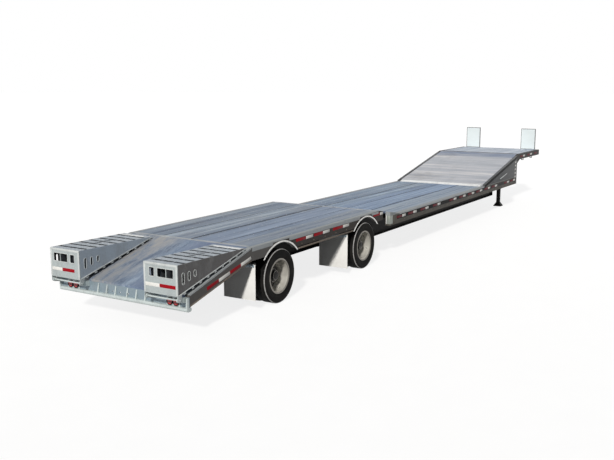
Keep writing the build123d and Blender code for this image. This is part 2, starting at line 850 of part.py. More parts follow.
with BuildPart() as ramp:
    for place in (ramp_inner + ramp_side_plate / 2, ramp_outer - ramp_side_plate / 2):
        extrude(moved_to(ramp_side_face.sketch, -place), amount=ramp_side_plate / 2, both=True)
        extrude(moved_to(ear_face.sketch, -place), amount=ramp_side_plate / 2, both=True)
    for share in stringer_shares:
        extrude(
            moved_to(ramp_side_face.sketch, -ramp_inner - share * ramp_width),
            amount=stringer_thickness / 2,
            both=True,
        )
    extrude(moved_to(tread_face, ramp_middle), amount=ramp_width / 2, both=True)
    extrude(rear_plate_face.sketch, amount=ramp_rear_plate)
    first_rung = ramp_rear_x + ramp_rear_plate + rung_width / 2
    rung_pitch = (tip_x - rung_width / 2 - first_rung) / (rung_count - 1)
    for index in range(rung_count):
        x = first_rung + index * rung_pitch
        with BuildSketch(Plane(Location((x, ramp_middle, ramp_topside(x)), (0, -top_slope, 0)))):
            Rectangle(rung_width, ramp_width)
            if index in slotted_rungs:
                SlotOverall(rung_slot_length, rung_slot_width, rotation=90, mode=Mode.SUBTRACT)
        extrude(amount=-rung_thickness)
    cleat_pitch = (tip_x - ramp_rear_x - cleat_first - cleat_width) / (cleat_count - 1)
    for index in range(cleat_count):
        x = ramp_rear_x + cleat_first + index * cleat_pitch
        with Locations(Location((x, ramp_middle, ramp_underside(x) + ramp_tread / 2), (0, -tread_slope, 0))):
            Box(
                cleat_width,
                ramp_width,
                cleat_height + ramp_tread / 2,
                align=(Align.CENTER, Align.CENTER, Align.MAX),
            )
finish(ramp.part, "ramp_right")
finish(mirror(ramp.part, about=Plane.XZ), "ramp_left")

# Suspension: hangers, trailing arms and air springs under the rear beams
axle_seat = tyre_radius - axle_tube_radius
with BuildPart() as hangers:
    for axle_x in axle_places.values():
        hanger_rear = axle_x + hanger_setback - hanger_length / 2
        hanger_face = outline([
            (hanger_rear, hanger_bottom),
            (hanger_rear + hanger_foot, hanger_bottom),
            (hanger_rear + hanger_length, rear_beam_bottom),
            (hanger_rear, rear_beam_bottom),
        ])
        for side in (-1, 1):
            extrude(moved_to(hanger_face, side * beam_offset), amount=hanger_width / 2, both=True)
finish(hangers.part, "suspension_hangers")
arm_front_gap = hanger_setback - hanger_length / 2
with BuildPart() as arms:
    for axle_x in axle_places.values():
        arm_face = outline([
            (axle_x + arm_front_gap, axle_seat),
            (axle_x - arm_rear_reach / 2, axle_seat),
            (axle_x - arm_rear_reach, axle_seat - arm_rear_drop),
            (axle_x - arm_rear_reach - 2 * air_spring_radius, axle_seat - arm_rear_drop),
            (axle_x - arm_rear_reach - 2 * air_spring_radius, axle_seat - arm_height),
            (axle_x + arm_front_gap, axle_seat - arm_height),
        ])
        for side in (-1, 1):
            extrude(moved_to(arm_face, side * beam_offset), amount=arm_width / 2, both=True)
finish(arms.part, "suspension_arms")
spring_bottom = axle_seat - arm_rear_drop
with BuildPart() as springs:
    for axle_x in axle_places.values():
        for side in (-1, 1):
            x = axle_x - arm_rear_reach - air_spring_radius
            with Locations((x, side * beam_offset, (spring_bottom + rear_beam_bottom) / 2)):
                Cylinder(air_spring_radius, rear_beam_bottom - spring_bottom)
finish(springs.part, "air_springs")

# Brake chambers on brackets behind the axle tubes
with BuildPart() as chambers:
    for axle_x in axle_places.values():
        for side in (-1, 1):
            bracket_end = axle_x - axle_tube_radius - chamber_bracket_length
            with Locations((bracket_end, side * chamber_offset, tyre_radius)):
                Box(
                    chamber_bracket_length,
                    chamber_bracket_size,
                    chamber_bracket_size,
                    align=(Align.MIN, Align.CENTER, Align.CENTER),
                )
            with Locations(Location((bracket_end, side * chamber_offset, tyre_radius), (0, -90, 0))):
                Cylinder(chamber_radius, chamber_length, align=(Align.CENTER, Align.CENTER, Align.MIN))
finish(chambers.part, "brake_chambers")

# Air tank across the frame, under the second cross-member of the main deck
with BuildPart() as tank:
    with Locations(Location((main_member_places[1], 0, main_beam_top - tank_radius), (90, 0, 0))):
        Cylinder(tank_radius, tank_length)
    fillet(tank.edges().filter_by(GeomType.CIRCLE), radius=tank_round)
finish(tank.part, "air_tank")

# Axles: a tube on the trailing arms with a spindle at each end
outer_wheel_y = outer_tyre_face - tyre_width / 2
dual_middle = outer_wheel_y - dual_spacing / 2
drum_face = dual_middle - wheel_disc_thickness / 2 - drum_depth
tube_half = drum_face - wheel_inner_gap
spindle_half = dual_middle + hub_nose_length - wheel_disc_thickness / 2
with BuildPart() as axles:
    for axle_x in axle_places.values():
        with Locations(Location((axle_x, 0, tyre_radius), (90, 0, 0))):
            Cylinder(axle_tube_radius, 2 * tube_half)
            Cylinder(spindle_radius, 2 * spindle_half)
finish(axles.part, "axles")

# Dual wheels: one turned profile for both rims, discs, hub and drum, and one for both tyres
bead_half = rim_width / 2
disc_half = wheel_disc_thickness / 2
bore = spindle_radius + bearing_clearance
nose_end = disc_half + hub_nose_length
with BuildSketch(Plane.XY) as wheel_section:
    with BuildLine():
        Polyline(
            (bore, -disc_half - drum_depth),
            (drum_radius, -disc_half - drum_depth),
            (drum_radius, -disc_half),
            (rim_radius - rim_thickness, -disc_half),
            (rim_radius - rim_thickness, -dual_spacing / 2 - bead_half),
            (rim_flange_radius, -dual_spacing / 2 - bead_half),
            (rim_flange_radius, -dual_spacing / 2 - bead_half + rim_thickness),
            (rim_radius, -dual_spacing / 2 - bead_half + rim_thickness),
            (rim_radius, dual_spacing / 2 + bead_half - rim_thickness),
            (rim_flange_radius, dual_spacing / 2 + bead_half - rim_thickness),
            (rim_flange_radius, dual_spacing / 2 + bead_half),
            (rim_radius - rim_thickness, dual_spacing / 2 + bead_half),
            (rim_radius - rim_thickness, disc_half),
            (hub_radius, disc_half),
            (hub_radius, nose_end),
            (hub_cap_radius, nose_end),
            (hub_cap_radius, nose_end + hub_cap_length),
            (0, nose_end + hub_cap_length),
            (0, nose_end),
            (bore, nose_end),
            close=True,
        )
    make_face()
with BuildPart() as dual_wheel:
    revolve(wheel_section.sketch, axis=Axis.Y)
    with Locations(Location((0, 0, 0), (90, 0, 0))):
        with PolarLocations(rim_radius - hand_hole_inset, hand_hole_count):
            Cylinder(hand_hole_radius, 2 * wheel_disc_thickness, mode=Mode.SUBTRACT)
tread_half = tyre_tread_width / 2
tyre_half = tyre_width / 2
shoulder = (tyre_width - tyre_tread_width) / 2
with BuildSketch(Plane.XY) as tyre_section:
    for place in (-dual_spacing / 2, dual_spacing / 2):
        with BuildLine():
            Polyline(
                (rim_radius, place - bead_half + rim_thickness),
                (rim_radius, place + bead_half - rim_thickness),
                (rim_flange_radius, place + bead_half - rim_thickness),
                (rim_flange_radius, place + bead_half),
                ((rim_flange_radius + tyre_radius) / 2, place + tyre_half),
                (tyre_radius - shoulder, place + tread_half + shoulder / 2),
                (tyre_radius, place + tread_half - shoulder / 2),
                (tyre_radius, place - tread_half + shoulder / 2),
                (tyre_radius - shoulder, place - tread_half - shoulder / 2),
                ((rim_flange_radius + tyre_radius) / 2, place - tyre_half),
                (rim_flange_radius, place - bead_half),
                (rim_flange_radius, place - bead_half + rim_thickness),
                close=True,
            )
        make_face()
with BuildPart() as dual_tyres:
    revolve(tyre_section.sketch, axis=Axis.Y)
for name, axle_x in axle_places.items():
    left_place = Location((axle_x, dual_middle, tyre_radius))
    right_place = Location((axle_x, -dual_middle, tyre_radius), (0, 0, 180))
    for side, place in {"left": left_place, "right": right_place}.items():
        finish(dual_wheel.part.moved(place), f"{name}_wheels_{side}")
        finish(dual_tyres.part.moved(place), f"{name}_tyres_{side}")
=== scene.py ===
# %% [markdown]
# # Double drop deck trailer
# A flatbed semi-trailer with a low middle deck, a raised rear deck over two axles, a short upper deck
# over the kingpin, and a sloped tail that carries two flip-over loading ramps.
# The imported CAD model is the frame. This lesson dresses it: finishes for every part, and the small
# pieces that a workshop would bolt, stick or fit to it. Everything is in metres, +X points forward.

import math

import bmesh
import bpy
from mathutils import Matrix, Vector


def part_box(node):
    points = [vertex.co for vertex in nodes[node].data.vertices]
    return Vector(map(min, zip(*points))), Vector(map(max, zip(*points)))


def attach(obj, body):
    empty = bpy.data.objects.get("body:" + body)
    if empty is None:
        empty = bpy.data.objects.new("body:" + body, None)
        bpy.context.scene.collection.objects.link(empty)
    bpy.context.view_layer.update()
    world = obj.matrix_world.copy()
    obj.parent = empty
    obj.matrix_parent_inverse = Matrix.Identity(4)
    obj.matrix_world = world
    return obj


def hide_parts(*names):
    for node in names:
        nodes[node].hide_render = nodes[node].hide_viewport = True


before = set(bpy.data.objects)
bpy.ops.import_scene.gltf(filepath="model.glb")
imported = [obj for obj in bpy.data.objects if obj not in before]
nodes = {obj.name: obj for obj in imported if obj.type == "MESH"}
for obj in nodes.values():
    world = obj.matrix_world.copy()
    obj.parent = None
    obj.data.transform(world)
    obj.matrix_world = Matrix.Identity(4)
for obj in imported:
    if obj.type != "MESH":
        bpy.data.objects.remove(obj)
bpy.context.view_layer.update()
SIDES = {"right": -1, "left": 1}
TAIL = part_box("tail_floor")[0].x
HALF_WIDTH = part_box("main_rails")[1].y


def at(station):
    """X of a place given in metres forward of the tail beam's face."""
    return TAIL + station


print("tail at", round(TAIL, 4), "half width", round(HALF_WIDTH, 4))

# %% [markdown]
# ## Camera
# The photograph was taken from behind and to the right of the trailer, a little above eye level.
# A camera can be placed by eye, but here its place was worked out from the straight edges of the
# decks, so the render and the photograph line up. It looks along a yaw and a pitch, with no roll.

# %% Camera
CAMERA_PLACE = (-17.3125, -8.458, 3.574)
CAMERA_YAW = math.radians(31.35)
CAMERA_PITCH = math.radians(-10.09)
CAMERA_LENS = 47.0

camera_data = bpy.data.cameras.new("photo_camera")
camera_data.sensor_fit = "HORIZONTAL"
camera_data.sensor_width = 36.0
camera_data.lens = CAMERA_LENS
camera_data.clip_end = 900.0
camera = bpy.data.objects.new("photo_camera", camera_data)
camera.location = CAMERA_PLACE
camera.rotation_euler = (math.pi / 2 + CAMERA_PITCH, 0.0, CAMERA_YAW - math.pi / 2)
bpy.context.scene.collection.objects.link(camera)
bpy.context.scene.camera = camera
print("camera at", CAMERA_PLACE, "lens", CAMERA_LENS)

# %% [markdown]
# ## Node helpers
# Every finish below is a small node tree that reads Object coordinates, so a pattern stays on its
# part when the part moves. A few helpers keep those trees short: one places a noise, one turns a
# number into colours, one mixes two colours, one adds fine relief, and one gives a zone of a part,
# such as its lower lip, a shade of its own.

# %% Node helpers
EVEN = (1.0, 1.0, 1.0)
MIX_COLOURS = (6, 7)
MIX_RESULT = 2


def shader_of(finish):
    return finish.node_tree.nodes["Principled BSDF"]


def preset(node, values):
    """Constant values on the sockets of a node."""
    for socket, value in values.items():
        node.inputs[socket].default_value = value


def new_finish(name, metallic=0.0, roughness=0.5, specular=0.5):
    """A material with a Principled shader; constant values go straight on its sockets."""
    finish = bpy.data.materials.new(name)
    finish.use_nodes = True
    preset(shader_of(finish), {"Metallic": metallic, "Roughness": roughness, "Specular IOR Level": specular})
    return finish


def link(owner, source, target):
    """Join two sockets in the tree of a material or of the sky."""
    owner.node_tree.links.new(source, target)


def add_node(owner, kind):
    return owner.node_tree.nodes.new("ShaderNode" + kind)


def feed(finish, socket, value):
    """Link a value to a socket of the shader."""
    link(finish, value, shader_of(finish).inputs[socket])


def scaled(shade, factors):
    """A shade multiplied by one factor, or by one for each of its channels."""
    if isinstance(factors, float):
        factors = (factors,) * 3
    return tuple(channel * factor for channel, factor in zip(shade, factors))


def place(finish, stretch=EVEN, turn=(0.0, 0.0, 0.0)):
    """Object coordinates, stretched and turned."""
    coordinates = add_node(finish, "TexCoord")
    mapping = add_node(finish, "Mapping")
    preset(mapping, {"Scale": stretch, "Rotation": turn})
    link(finish, coordinates.outputs["Object"], mapping.inputs["Vector"])
    return mapping.outputs["Vector"]


def texture(finish, kind, scale, stretch=EVEN):
    """A texture node of a kind, on Object coordinates."""
    made = add_node(finish, "Tex" + kind)
    preset(made, {"Scale": scale})
    link(finish, place(finish, stretch), made.inputs["Vector"])
    return made


def cloud(finish, scale, detail=5.0, rough=0.6, stretch=EVEN):
    """Soft noise from 0 to 1."""
    noise = texture(finish, "Noise", scale, stretch)
    preset(noise, {"Detail": detail, "Roughness": rough})
    return noise.outputs["Fac"]


def colours(finish, value, stops):
    """A number turned into colours; stops are (position, red, green, blue)."""
    ramp = add_node(finish, "ValToRGB")
    bar = ramp.color_ramp.elements
    while len(bar) < len(stops):
        bar.new(0.5)
    for element, (position, red, green, blue) in zip(bar, stops):
        element.position = position
        element.color = (red, green, blue, 1.0)
    link(finish, value, ramp.inputs["Fac"])
    return ramp.outputs["Color"]


def spread(finish, value, low, high, new_low=0.0, new_high=1.0):
    """A number moved from one range to another."""
    span = add_node(finish, "MapRange")
    preset(span, {"From Min": low, "From Max": high, "To Min": new_low, "To Max": new_high})
    link(finish, value, span.inputs["Value"])
    return span.outputs["Result"]


def mixed(finish, share, first, second):
    """Two colours mixed by a share; either may be a plain colour."""
    mix = add_node(finish, "Mix")
    mix.data_type = "RGBA"
    link(finish, share, mix.inputs[0])
    for colour, socket in zip((first, second), MIX_COLOURS):
        if isinstance(colour, tuple):
            preset(mix, {socket: (*colour, 1.0)})
        else:
            link(finish, colour, mix.inputs[socket])
    return mix.outputs[MIX_RESULT]


def relief(finish, height, strength, distance):
    """Fine relief on the shader's normal."""
    bump = add_node(finish, "Bump")
    preset(bump, {"Strength": strength, "Distance": distance})
    link(finish, height, bump.inputs["Height"])
    feed(finish, "Normal", bump.outputs["Normal"])


def axis_value(finish, vector, axis):
    """One coordinate of a vector."""
    parts = add_node(finish, "SeparateXYZ")
    link(finish, vector, parts.inputs["Vector"])
    return parts.outputs[axis]


def arithmetic(finish, operation, first, second):
    """One sum on a number."""
    sum_node = add_node(finish, "Math")
    sum_node.operation = operation
    link(finish, first, sum_node.inputs[0])
    if isinstance(second, float):
        preset(sum_node, {1: second})
    else:
        link(finish, second, sum_node.inputs[1])
    return sum_node.outputs[0]


def coordinate(finish, axis, turn=0.0):
    """X, Y, Z, or "out" for the distance from the middle plane; turn tilts the axes about Y."""
    vector = place(finish, turn=(0.0, turn, 0.0))
    if axis == "out":
        return arithmetic(finish, "ABSOLUTE", axis_value(finish, vector, "Y"), 0.0)
    return axis_value(finish, vector, axis)


def zoned(finish, tone, zones):
    """A tone that turns into other shades; zones are (axis, start, end, shade) rows, some with a turn."""
    for axis, start, end, shade, *turn in zones:
        tone = mixed(finish, spread(finish, coordinate(finish, axis, *turn), start, end), tone, shade)
    return tone


print("node helpers ready")

# %% [markdown]
# ## Stage and light
# A plain pale floor keeps the shadow under the trailer. The photograph has a low sun from behind
# and the right, so a broad, soft sun does that here, and a pale sky fills the rest. The sky is
# white to the camera and to mirrors, and a calmer light for everything else.

# %% Floor, sky and sun
FLOOR_REACH = 400.0
FLOOR_TONES = [(0.3, 0.155, 0.155, 0.155), (0.7, 0.17, 0.17, 0.17)]
FLOOR_GLOW = 0.82
WHITE = (1.0, 1.0, 1.0, 1.0)
SKY_SEEN = (WHITE, 1.0)
SKY_LIGHT = ((0.86, 0.92, 1.0, 1.0), 0.13)
SUN_FROM = Vector((-1.0, -0.35, 0.634))
SUN_STRENGTH = 4.1
SUN_ANGLE = math.radians(4.0)
SUN_COLOUR = (1.0, 0.97, 0.92)


def seen_share(owner):
    """1 on rays that end in the picture, straight, by gloss or through glass, and else 0."""
    rays = add_node(owner, "LightPath").outputs
    share = arithmetic(owner, "MAXIMUM", rays["Is Camera Ray"], rays["Is Glossy Ray"])
    return arithmetic(owner, "MAXIMUM", share, rays["Is Transmission Ray"])


floor_mesh = bpy.data.meshes.new("studio_floor")
floor_shape = bmesh.new()
bmesh.ops.create_grid(floor_shape, x_segments=1, y_segments=1, size=FLOOR_REACH)
floor_shape.to_mesh(floor_mesh)
floor_shape.free()
floor = bpy.data.objects.new("studio_floor", floor_mesh)
bpy.context.scene.collection.objects.link(floor)
floor_paint = new_finish("pale_floor", roughness=0.9)
floor_grain = cloud(floor_paint, 2.0)
feed(floor_paint, "Base Color", colours(floor_paint, floor_grain, FLOOR_TONES))
floor_glow = spread(floor_paint, seen_share(floor_paint), 0.0, 1.0, 0.0, FLOOR_GLOW)
preset(shader_of(floor_paint), {"Emission Color": WHITE})
feed(floor_paint, "Emission Strength", floor_glow)
floor_mesh.materials.append(floor_paint)

sky = bpy.data.worlds.new("pale_sky")
bpy.context.scene.world = sky
sky.use_nodes = True
sky.node_tree.nodes.clear()
sky_mix = add_node(sky, "MixShader")
link(sky, seen_share(sky), sky_mix.inputs[0])
for socket, (tone, strength) in ((1, SKY_LIGHT), (2, SKY_SEEN)):
    background = add_node(sky, "Background")
    preset(background, {"Color": tone, "Strength": strength})
    link(sky, background.outputs[0], sky_mix.inputs[socket])
link(sky, sky_mix.outputs[0], add_node(sky, "OutputWorld").inputs["Surface"])

sun_data = bpy.data.lights.new("soft_sun", "SUN")
sun_data.energy = SUN_STRENGTH
sun_data.angle = SUN_ANGLE
sun_data.color = SUN_COLOUR
sun = bpy.data.objects.new("soft_sun", sun_data)
sun.rotation_euler = SUN_FROM.to_track_quat("Z", "Y").to_euler()
bpy.context.scene.collection.objects.link(sun)
bpy.context.scene.view_settings.view_transform = "Standard"
print("stage: floor, sky and one soft sun")

# %% [markdown]
# ## Deck metal
# The floors are grey-blue extruded planks, scuffed along their length by tyres and tracks. Long
# noise stretched along X gives the scuffs, each plank gets its own tint from its place across the
# deck, and a wave across the deck gives the fine grooves that extruded planks have. Tyres have
# worn some planks greyer and left others blue, and the tail's slope is tan on its left side and a
# darker blue on its right.

# %% Deck finishes
GROOVE_SCALE = 11.0
SCRATCHED_METAL = (0.54, 0.57, 0.60)
DECK_DIRT = (0.15, 0.145, 0.145)


def deck_finish(name, shade, plank_pitch, along="X", contrast=1.0, zones=()):
    """Scuffed plank metal; shade is its middle colour, and zones tint stretches of it."""
    finish = new_finish(name, metallic=0.15, specular=0.3)
    long_way = (0.07, 2.6, 2.6) if along == "X" else (1.6, 0.12, 1.6)
    fine_way = (0.6, 22.0, 22.0) if along == "X" else (22.0, 0.6, 22.0)
    bands = cloud(finish, 3.0, 9.0, 0.72, long_way)
    darkest = [1 - part * contrast for part in (0.45, 0.42, 0.36)]
    palest = [1 + part * contrast for part in (0.65, 0.60, 0.48)]
    tone = colours(finish, bands, [
        (0.36, *scaled(shade, darkest)), (0.47, *scaled(shade, (0.92, 0.95, 0.98))),
        (0.54, *scaled(shade, (1.08, 1.06, 1.05))), (0.64, *scaled(shade, palest)),
    ])
    scratches = cloud(finish, 2.0, 6.0, 0.7, fine_way)
    bright = spread(finish, scratches, 0.55, 0.70, 0.0, 0.55 * contrast)
    tone = mixed(finish, bright, tone, SCRATCHED_METAL)
    across = axis_value(finish, place(finish), "Y" if along == "X" else "X")
    plank = arithmetic(finish, "FLOOR", arithmetic(finish, "DIVIDE", across, plank_pitch), 0.0)
    chance = add_node(finish, "TexWhiteNoise")
    chance.noise_dimensions = "1D"
    link(finish, plank, chance.inputs["W"])
    tint = spread(finish, chance.outputs["Value"], 0.0, 1.0, 0.0, 0.30 * contrast)
    tone = mixed(finish, tint, tone, scaled(shade, (0.55, 0.58, 0.62)))
    dirt = cloud(finish, 0.8, 7.0, 0.72)
    dirt_share = spread(finish, dirt, 0.53, 0.75, 0.0, 0.5)
    tone = mixed(finish, dirt_share, tone, DECK_DIRT)
    for axis, start, end, most, tint_shade in zones:
        share = spread(finish, coordinate(finish, axis), start, end, 0.0, most)
        share = arithmetic(finish, "MULTIPLY", share, spread(finish, bands, 0.40, 0.58, 0.15, 1.0))
        tone = mixed(finish, share, tone, tint_shade)
    feed(finish, "Base Color", tone)
    feed(finish, "Roughness", spread(finish, bands, 0.3, 0.7, 0.66, 0.42))
    grooves = texture(finish, "Wave", GROOVE_SCALE)
    grooves.bands_direction = "Y" if along == "X" else "X"
    relief(finish, grooves.outputs["Fac"], 0.25, 0.002)
    return finish


REAR_PLANK = 0.3043
MAIN_PLANK = 0.2968
FRONT_PLANK = 0.2521
WORN_TRACKS_REAR = [
    # axis, start, end, most, shade
    ("Y", 0.00, -0.12, 0.65, (0.150, 0.215, 0.350)),
    ("Y", -0.72, -0.86, 0.80, (0.200, 0.220, 0.235)),
]
WORN_TRACKS_MAIN = [
    ("Y", 0.35, 0.15, 0.65, (0.160, 0.245, 0.410)),
    ("Y", -0.58, -0.70, 0.72, (0.255, 0.290, 0.315)),
]
TAN_AND_BLUE = [
    ("Y", -0.05, 0.35, 0.90, (0.285, 0.28, 0.275)),
    ("Y", -0.05, -0.40, 0.95, (0.095, 0.125, 0.215)),
]
BLUE_TOP_PLANK = [("X", at(15.14), at(15.20), 0.95, (0.13, 0.175, 0.27))]
deck_rear = deck_finish("deck_rear_planks", (0.175, 0.223, 0.292), REAR_PLANK, "X", 1.5, WORN_TRACKS_REAR)
deck_main = deck_finish("deck_main_planks", (0.176, 0.243, 0.338), MAIN_PLANK, "X", 1.8, WORN_TRACKS_MAIN)
deck_edge = deck_finish("deck_edge_plate", (0.320, 0.342, 0.365), REAR_PLANK, "X", 0.6)
deck_slope = deck_finish("deck_slope_plate", (0.170, 0.222, 0.305), REAR_PLANK, "X", 1.0, TAN_AND_BLUE)
deck_front = deck_finish("deck_front_ramp_planks", (0.45, 0.46, 0.495), FRONT_PLANK, "Y", 0.5, BLUE_TOP_PLANK)
deck_upper = deck_finish("deck_upper_planks", (0.42, 0.47, 0.55), REAR_PLANK, "X", 0.6)
print("deck finishes: 6")

# %% [markdown]
# ## Painted steel
# The rails are a worn dark grey, the frame under the deck is black, and both carry road dust that
# is thicker low down. A height gradient mixed with noise lays the dust on, and a coarse noise
# breaks the paint's colour so that no long panel is one flat tone.

# %% Paint finishes
def paint_finish(name, shade, dust, dust_top, roughness, dust_most=0.7, uneven=1.0, zones=()):
    """Weathered paint with dust below dust_top; uneven is how much its tone wanders."""
    finish = new_finish(name, specular=0.12)
    broad = cloud(finish, 2.2, 7.0, 0.66, (0.6, 1.0, 1.6))
    palest = [1 + part * uneven for part in (0.50, 0.48, 0.45)]
    tone = colours(finish, broad, [
        (0.30, *scaled(shade, 1 - 0.4 * uneven)), (0.52, *shade), (0.74, *scaled(shade, palest)),
    ])
    low_down = spread(finish, coordinate(finish, "Z"), dust_top, 0.0, 0.0, dust_most)
    speckle = cloud(finish, 14.0, 6.0, 0.7)
    dusty = arithmetic(finish, "MULTIPLY", low_down, spread(finish, speckle, 0.35, 0.65, 0.2, 1.0))
    tone = zoned(finish, mixed(finish, dusty, tone, dust), zones)
    feed(finish, "Base Color", tone)
    feed(finish, "Roughness", spread(finish, speckle, 0.3, 0.7, roughness - 0.1, roughness + 0.15))
    relief(finish, cloud(finish, 55.0, 3.0, 0.5), 0.12, 0.001)
    return finish


ROAD_DUST = (0.20, 0.18, 0.155)
BARE_EDGE = (0.26, 0.28, 0.29)
TAIL_RISE = 0.275
TAIL_LOW = 0.670
TAIL_SLOPE = math.atan(TAIL_RISE)
TAIL_EDGE = TAIL_LOW * math.cos(TAIL_SLOPE) - TAIL * math.sin(TAIL_SLOPE)
REAR_EDGES = [
    # axis, start, end, shade and, where it isn't 0, turn of the axes
    ("X", at(2.60), at(2.20), (0.100, 0.097, 0.095)),
    ("X", at(1.45), at(1.20), (0.088, 0.084, 0.082)),
    ("Z", 1.086, 1.091, BARE_EDGE),
    ("Z", TAIL_EDGE - 0.006, TAIL_EDGE - 0.002, BARE_EDGE, TAIL_SLOPE),
]
MAIN_EDGE = [("Z", 0.908, 0.913, BARE_EDGE)]
PANEL_FADE = [("X", at(13.2), at(15.6), (0.15, 0.155, 0.16))]
PAINTS = {
    # name: shade, dust, top of the dust, roughness, most dust, unevenness, zones
    "rear_rail_grey_paint": ((0.026, 0.021, 0.019), ROAD_DUST, 1.6, 0.5, 0.15, 1.0, REAR_EDGES),
    "main_rail_grey_paint": ((0.065, 0.060, 0.052), ROAD_DUST, 1.6, 0.5, 0.25, 1.0, MAIN_EDGE),
    "rail_grey_paint": ((0.032, 0.029, 0.028), ROAD_DUST, 1.6, 0.5, 0.15),
    # The rail lips are a paler tan.
    "rail_lip_tan_paint": ((0.19, 0.16, 0.135), ROAD_DUST, 1.6, 0.6, 0.35, 0.5),
    "panel_grey_paint": ((0.065, 0.070, 0.075), ROAD_DUST, 1.6, 0.5, 0.15, 1.0, PANEL_FADE),
    "frame_black_paint": ((0.010, 0.010, 0.011), ROAD_DUST, 0.9, 0.6, 0.15),
    "headboard_white_paint": ((0.62, 0.68, 0.70), (0.5, 0.5, 0.48), 2.0, 0.4, 0.2, 0.12),
    "flap_white_rubber": ((0.74, 0.74, 0.73), (0.36, 0.34, 0.31), 0.5, 0.6, 0.4, 0.12),
}
(rear_rail_paint, main_rail_paint, rail_paint, lip_paint, panel_paint, frame_paint, head_paint,
 flap_paint) = (paint_finish(name, *values) for name, values in PAINTS.items())
print("paint finishes:", len(PAINTS))

# %% [markdown]
# ## Bare and coated metals
# The tail beam is galvanised, which shows as pale, slightly green crystals. The ramps are too, with
# dark paint on their outer sides. Some zones are painted light and shade: paler zinc on the tail
# beam's rear-standing parts and lip and on the ramps' rear plates is painted light, and near-black
# inside the ramps is painted shade. The rims and trims are bright aluminium; the rims' discs, hubs
# and lips are darkened as painted shade. Voronoi cells make the crystals, fine noise makes the
# polish marks, and zones set lips and plates apart in one piece.

# %% Metal finishes
ZINC_STAIN = (0.20, 0.21, 0.21)
CRYSTAL_SCALE = 55.0


def galvanised_finish(name, shade, zones=()):
    """Zinc coating with crystal spangle and grey stains; zones are lips and faces of another shade, among
    them painted light and painted shade.
    """
    finish = new_finish(name, metallic=0.35)
    crystals = texture(finish, "Voronoi", CRYSTAL_SCALE)
    grain = axis_value(finish, crystals.outputs["Color"], "X")
    tone = zoned(finish, shade, zones)
    stains = cloud(finish, 5.0, 7.0, 0.7, (1.0, 1.0, 0.4))
    dull = scaled(shade, (0.50, 0.52, 0.54))
    tone = mixed(finish, spread(finish, grain, 0.0, 1.0, 0.0, 0.16), tone, dull)
    tone = mixed(finish, spread(finish, stains, 0.5, 0.78, 0.0, 0.6), tone, ZINC_STAIN)
    feed(finish, "Base Color", tone)
    feed(finish, "Roughness", spread(finish, grain, 0.0, 1.0, 0.38, 0.55))
    relief(finish, stains, 0.08, 0.002)
    return finish


def rim_finish(name, barrel_from):
    """A polished barrel outside barrel_from, with a near-black disc inside it that is painted shade in the
    dish.
    """
    finish = new_finish(name, metallic=0.6)
    marks = cloud(finish, 7.0, 4.0, 0.5)
    polish = colours(finish, marks, [(0.35, 0.62, 0.60, 0.55), (0.65, 0.84, 0.82, 0.76)])
    # The near-black disc is painted shade in the wheel's dish.
    disc = colours(finish, marks, [(0.3, 0.008, 0.008, 0.008), (0.7, 0.028, 0.027, 0.026)])
    outside = spread(finish, coordinate(finish, "out"), barrel_from, barrel_from + 0.004)
    feed(finish, "Base Color", mixed(finish, outside, disc, polish))
    feed(finish, "Roughness", spread(finish, marks, 0.3, 0.7, 0.36, 0.24))
    relief(finish, marks, 0.04, 0.0005)
    return finish


def bright_finish(name, shade, roughness, metallic=1.0):
    """Polished metal with fine marks; a lower metallic value is a chalky, weathered surface."""
    finish = new_finish(name, metallic=metallic)
    marks = cloud(finish, 30.0, 8.0, 0.7)
    feed(finish, "Base Color", colours(finish, marks, [(0.3, *scaled(shade, 0.8)), (0.6, *shade)]))
    feed(finish, "Roughness", spread(finish, marks, 0.3, 0.7, roughness + 0.12, roughness))
    relief(finish, marks, 0.05, 0.0005)
    return finish


RAMP_FOOT = (-0.210, 0.687)
RAMP_TIP = (1.400, 1.090)
RAMP_SLOPE = math.atan2(RAMP_TIP[1] - RAMP_FOOT[1], RAMP_TIP[0] - RAMP_FOOT[0])
TREAD_PLATE = 0.016
TREAD_EDGE = (RAMP_FOOT[1] + TREAD_PLATE) * math.cos(RAMP_SLOPE) - at(RAMP_FOOT[0]) * math.sin(RAMP_SLOPE)
RAMP_TOP = 1.140
TIP_DEPTH = 0.020
RAMP_FALL = math.atan2(TIP_DEPTH + RAMP_TIP[1] - RAMP_TOP, RAMP_TIP[0] - RAMP_FOOT[0])
TOP_EDGE = RAMP_TOP * math.cos(RAMP_FALL) - at(RAMP_FOOT[0]) * math.sin(RAMP_FALL)
# This paler zinc is painted light on the tail beam's sunward parts and lip.
PAINTED_LIGHT_ZINC = (0.52, 0.58, 0.58)
RAMP_SIDE_ZINC = (0.33, 0.385, 0.445)
# Paler zinc on the ramps' rear plates is painted light on the plates that face the sun.
RAMP_REAR_PAINTED_LIGHT_ZINC = (0.41, 0.455, 0.46)
TAIL_ZONES = [
    # axis, start, end, shade and, where it isn't 0, turn of the axes
    # Paler zinc behind the web's face and on the lip is painted light on the ribs, lugs and lamp boxes.
    ("X", TAIL - 0.002, TAIL - 0.004, PAINTED_LIGHT_ZINC),
    ("Z", 0.492, 0.482, PAINTED_LIGHT_ZINC),
]
RAMP_ZONES = [
    # Near-black below the top plane is painted shade inside the ramp, seen through the gaps between rungs.
    ("Z", TOP_EDGE - 0.003, TOP_EDGE - 0.005, (0.055, 0.060, 0.070), RAMP_FALL),
    ("out", 0.6630, 0.6625, RAMP_SIDE_ZINC),
    ("out", 1.2625, 1.2630, (0.060, 0.055, 0.054)),
    ("Z", TREAD_EDGE + 0.001, TREAD_EDGE, (0.40, 0.43, 0.44), RAMP_SLOPE),
    # Paler rear plate: painted light on the sunward face.
    ("X", at(RAMP_FOOT[0]) + 0.0125, at(RAMP_FOOT[0]) + 0.0120, RAMP_REAR_PAINTED_LIGHT_ZINC),
]
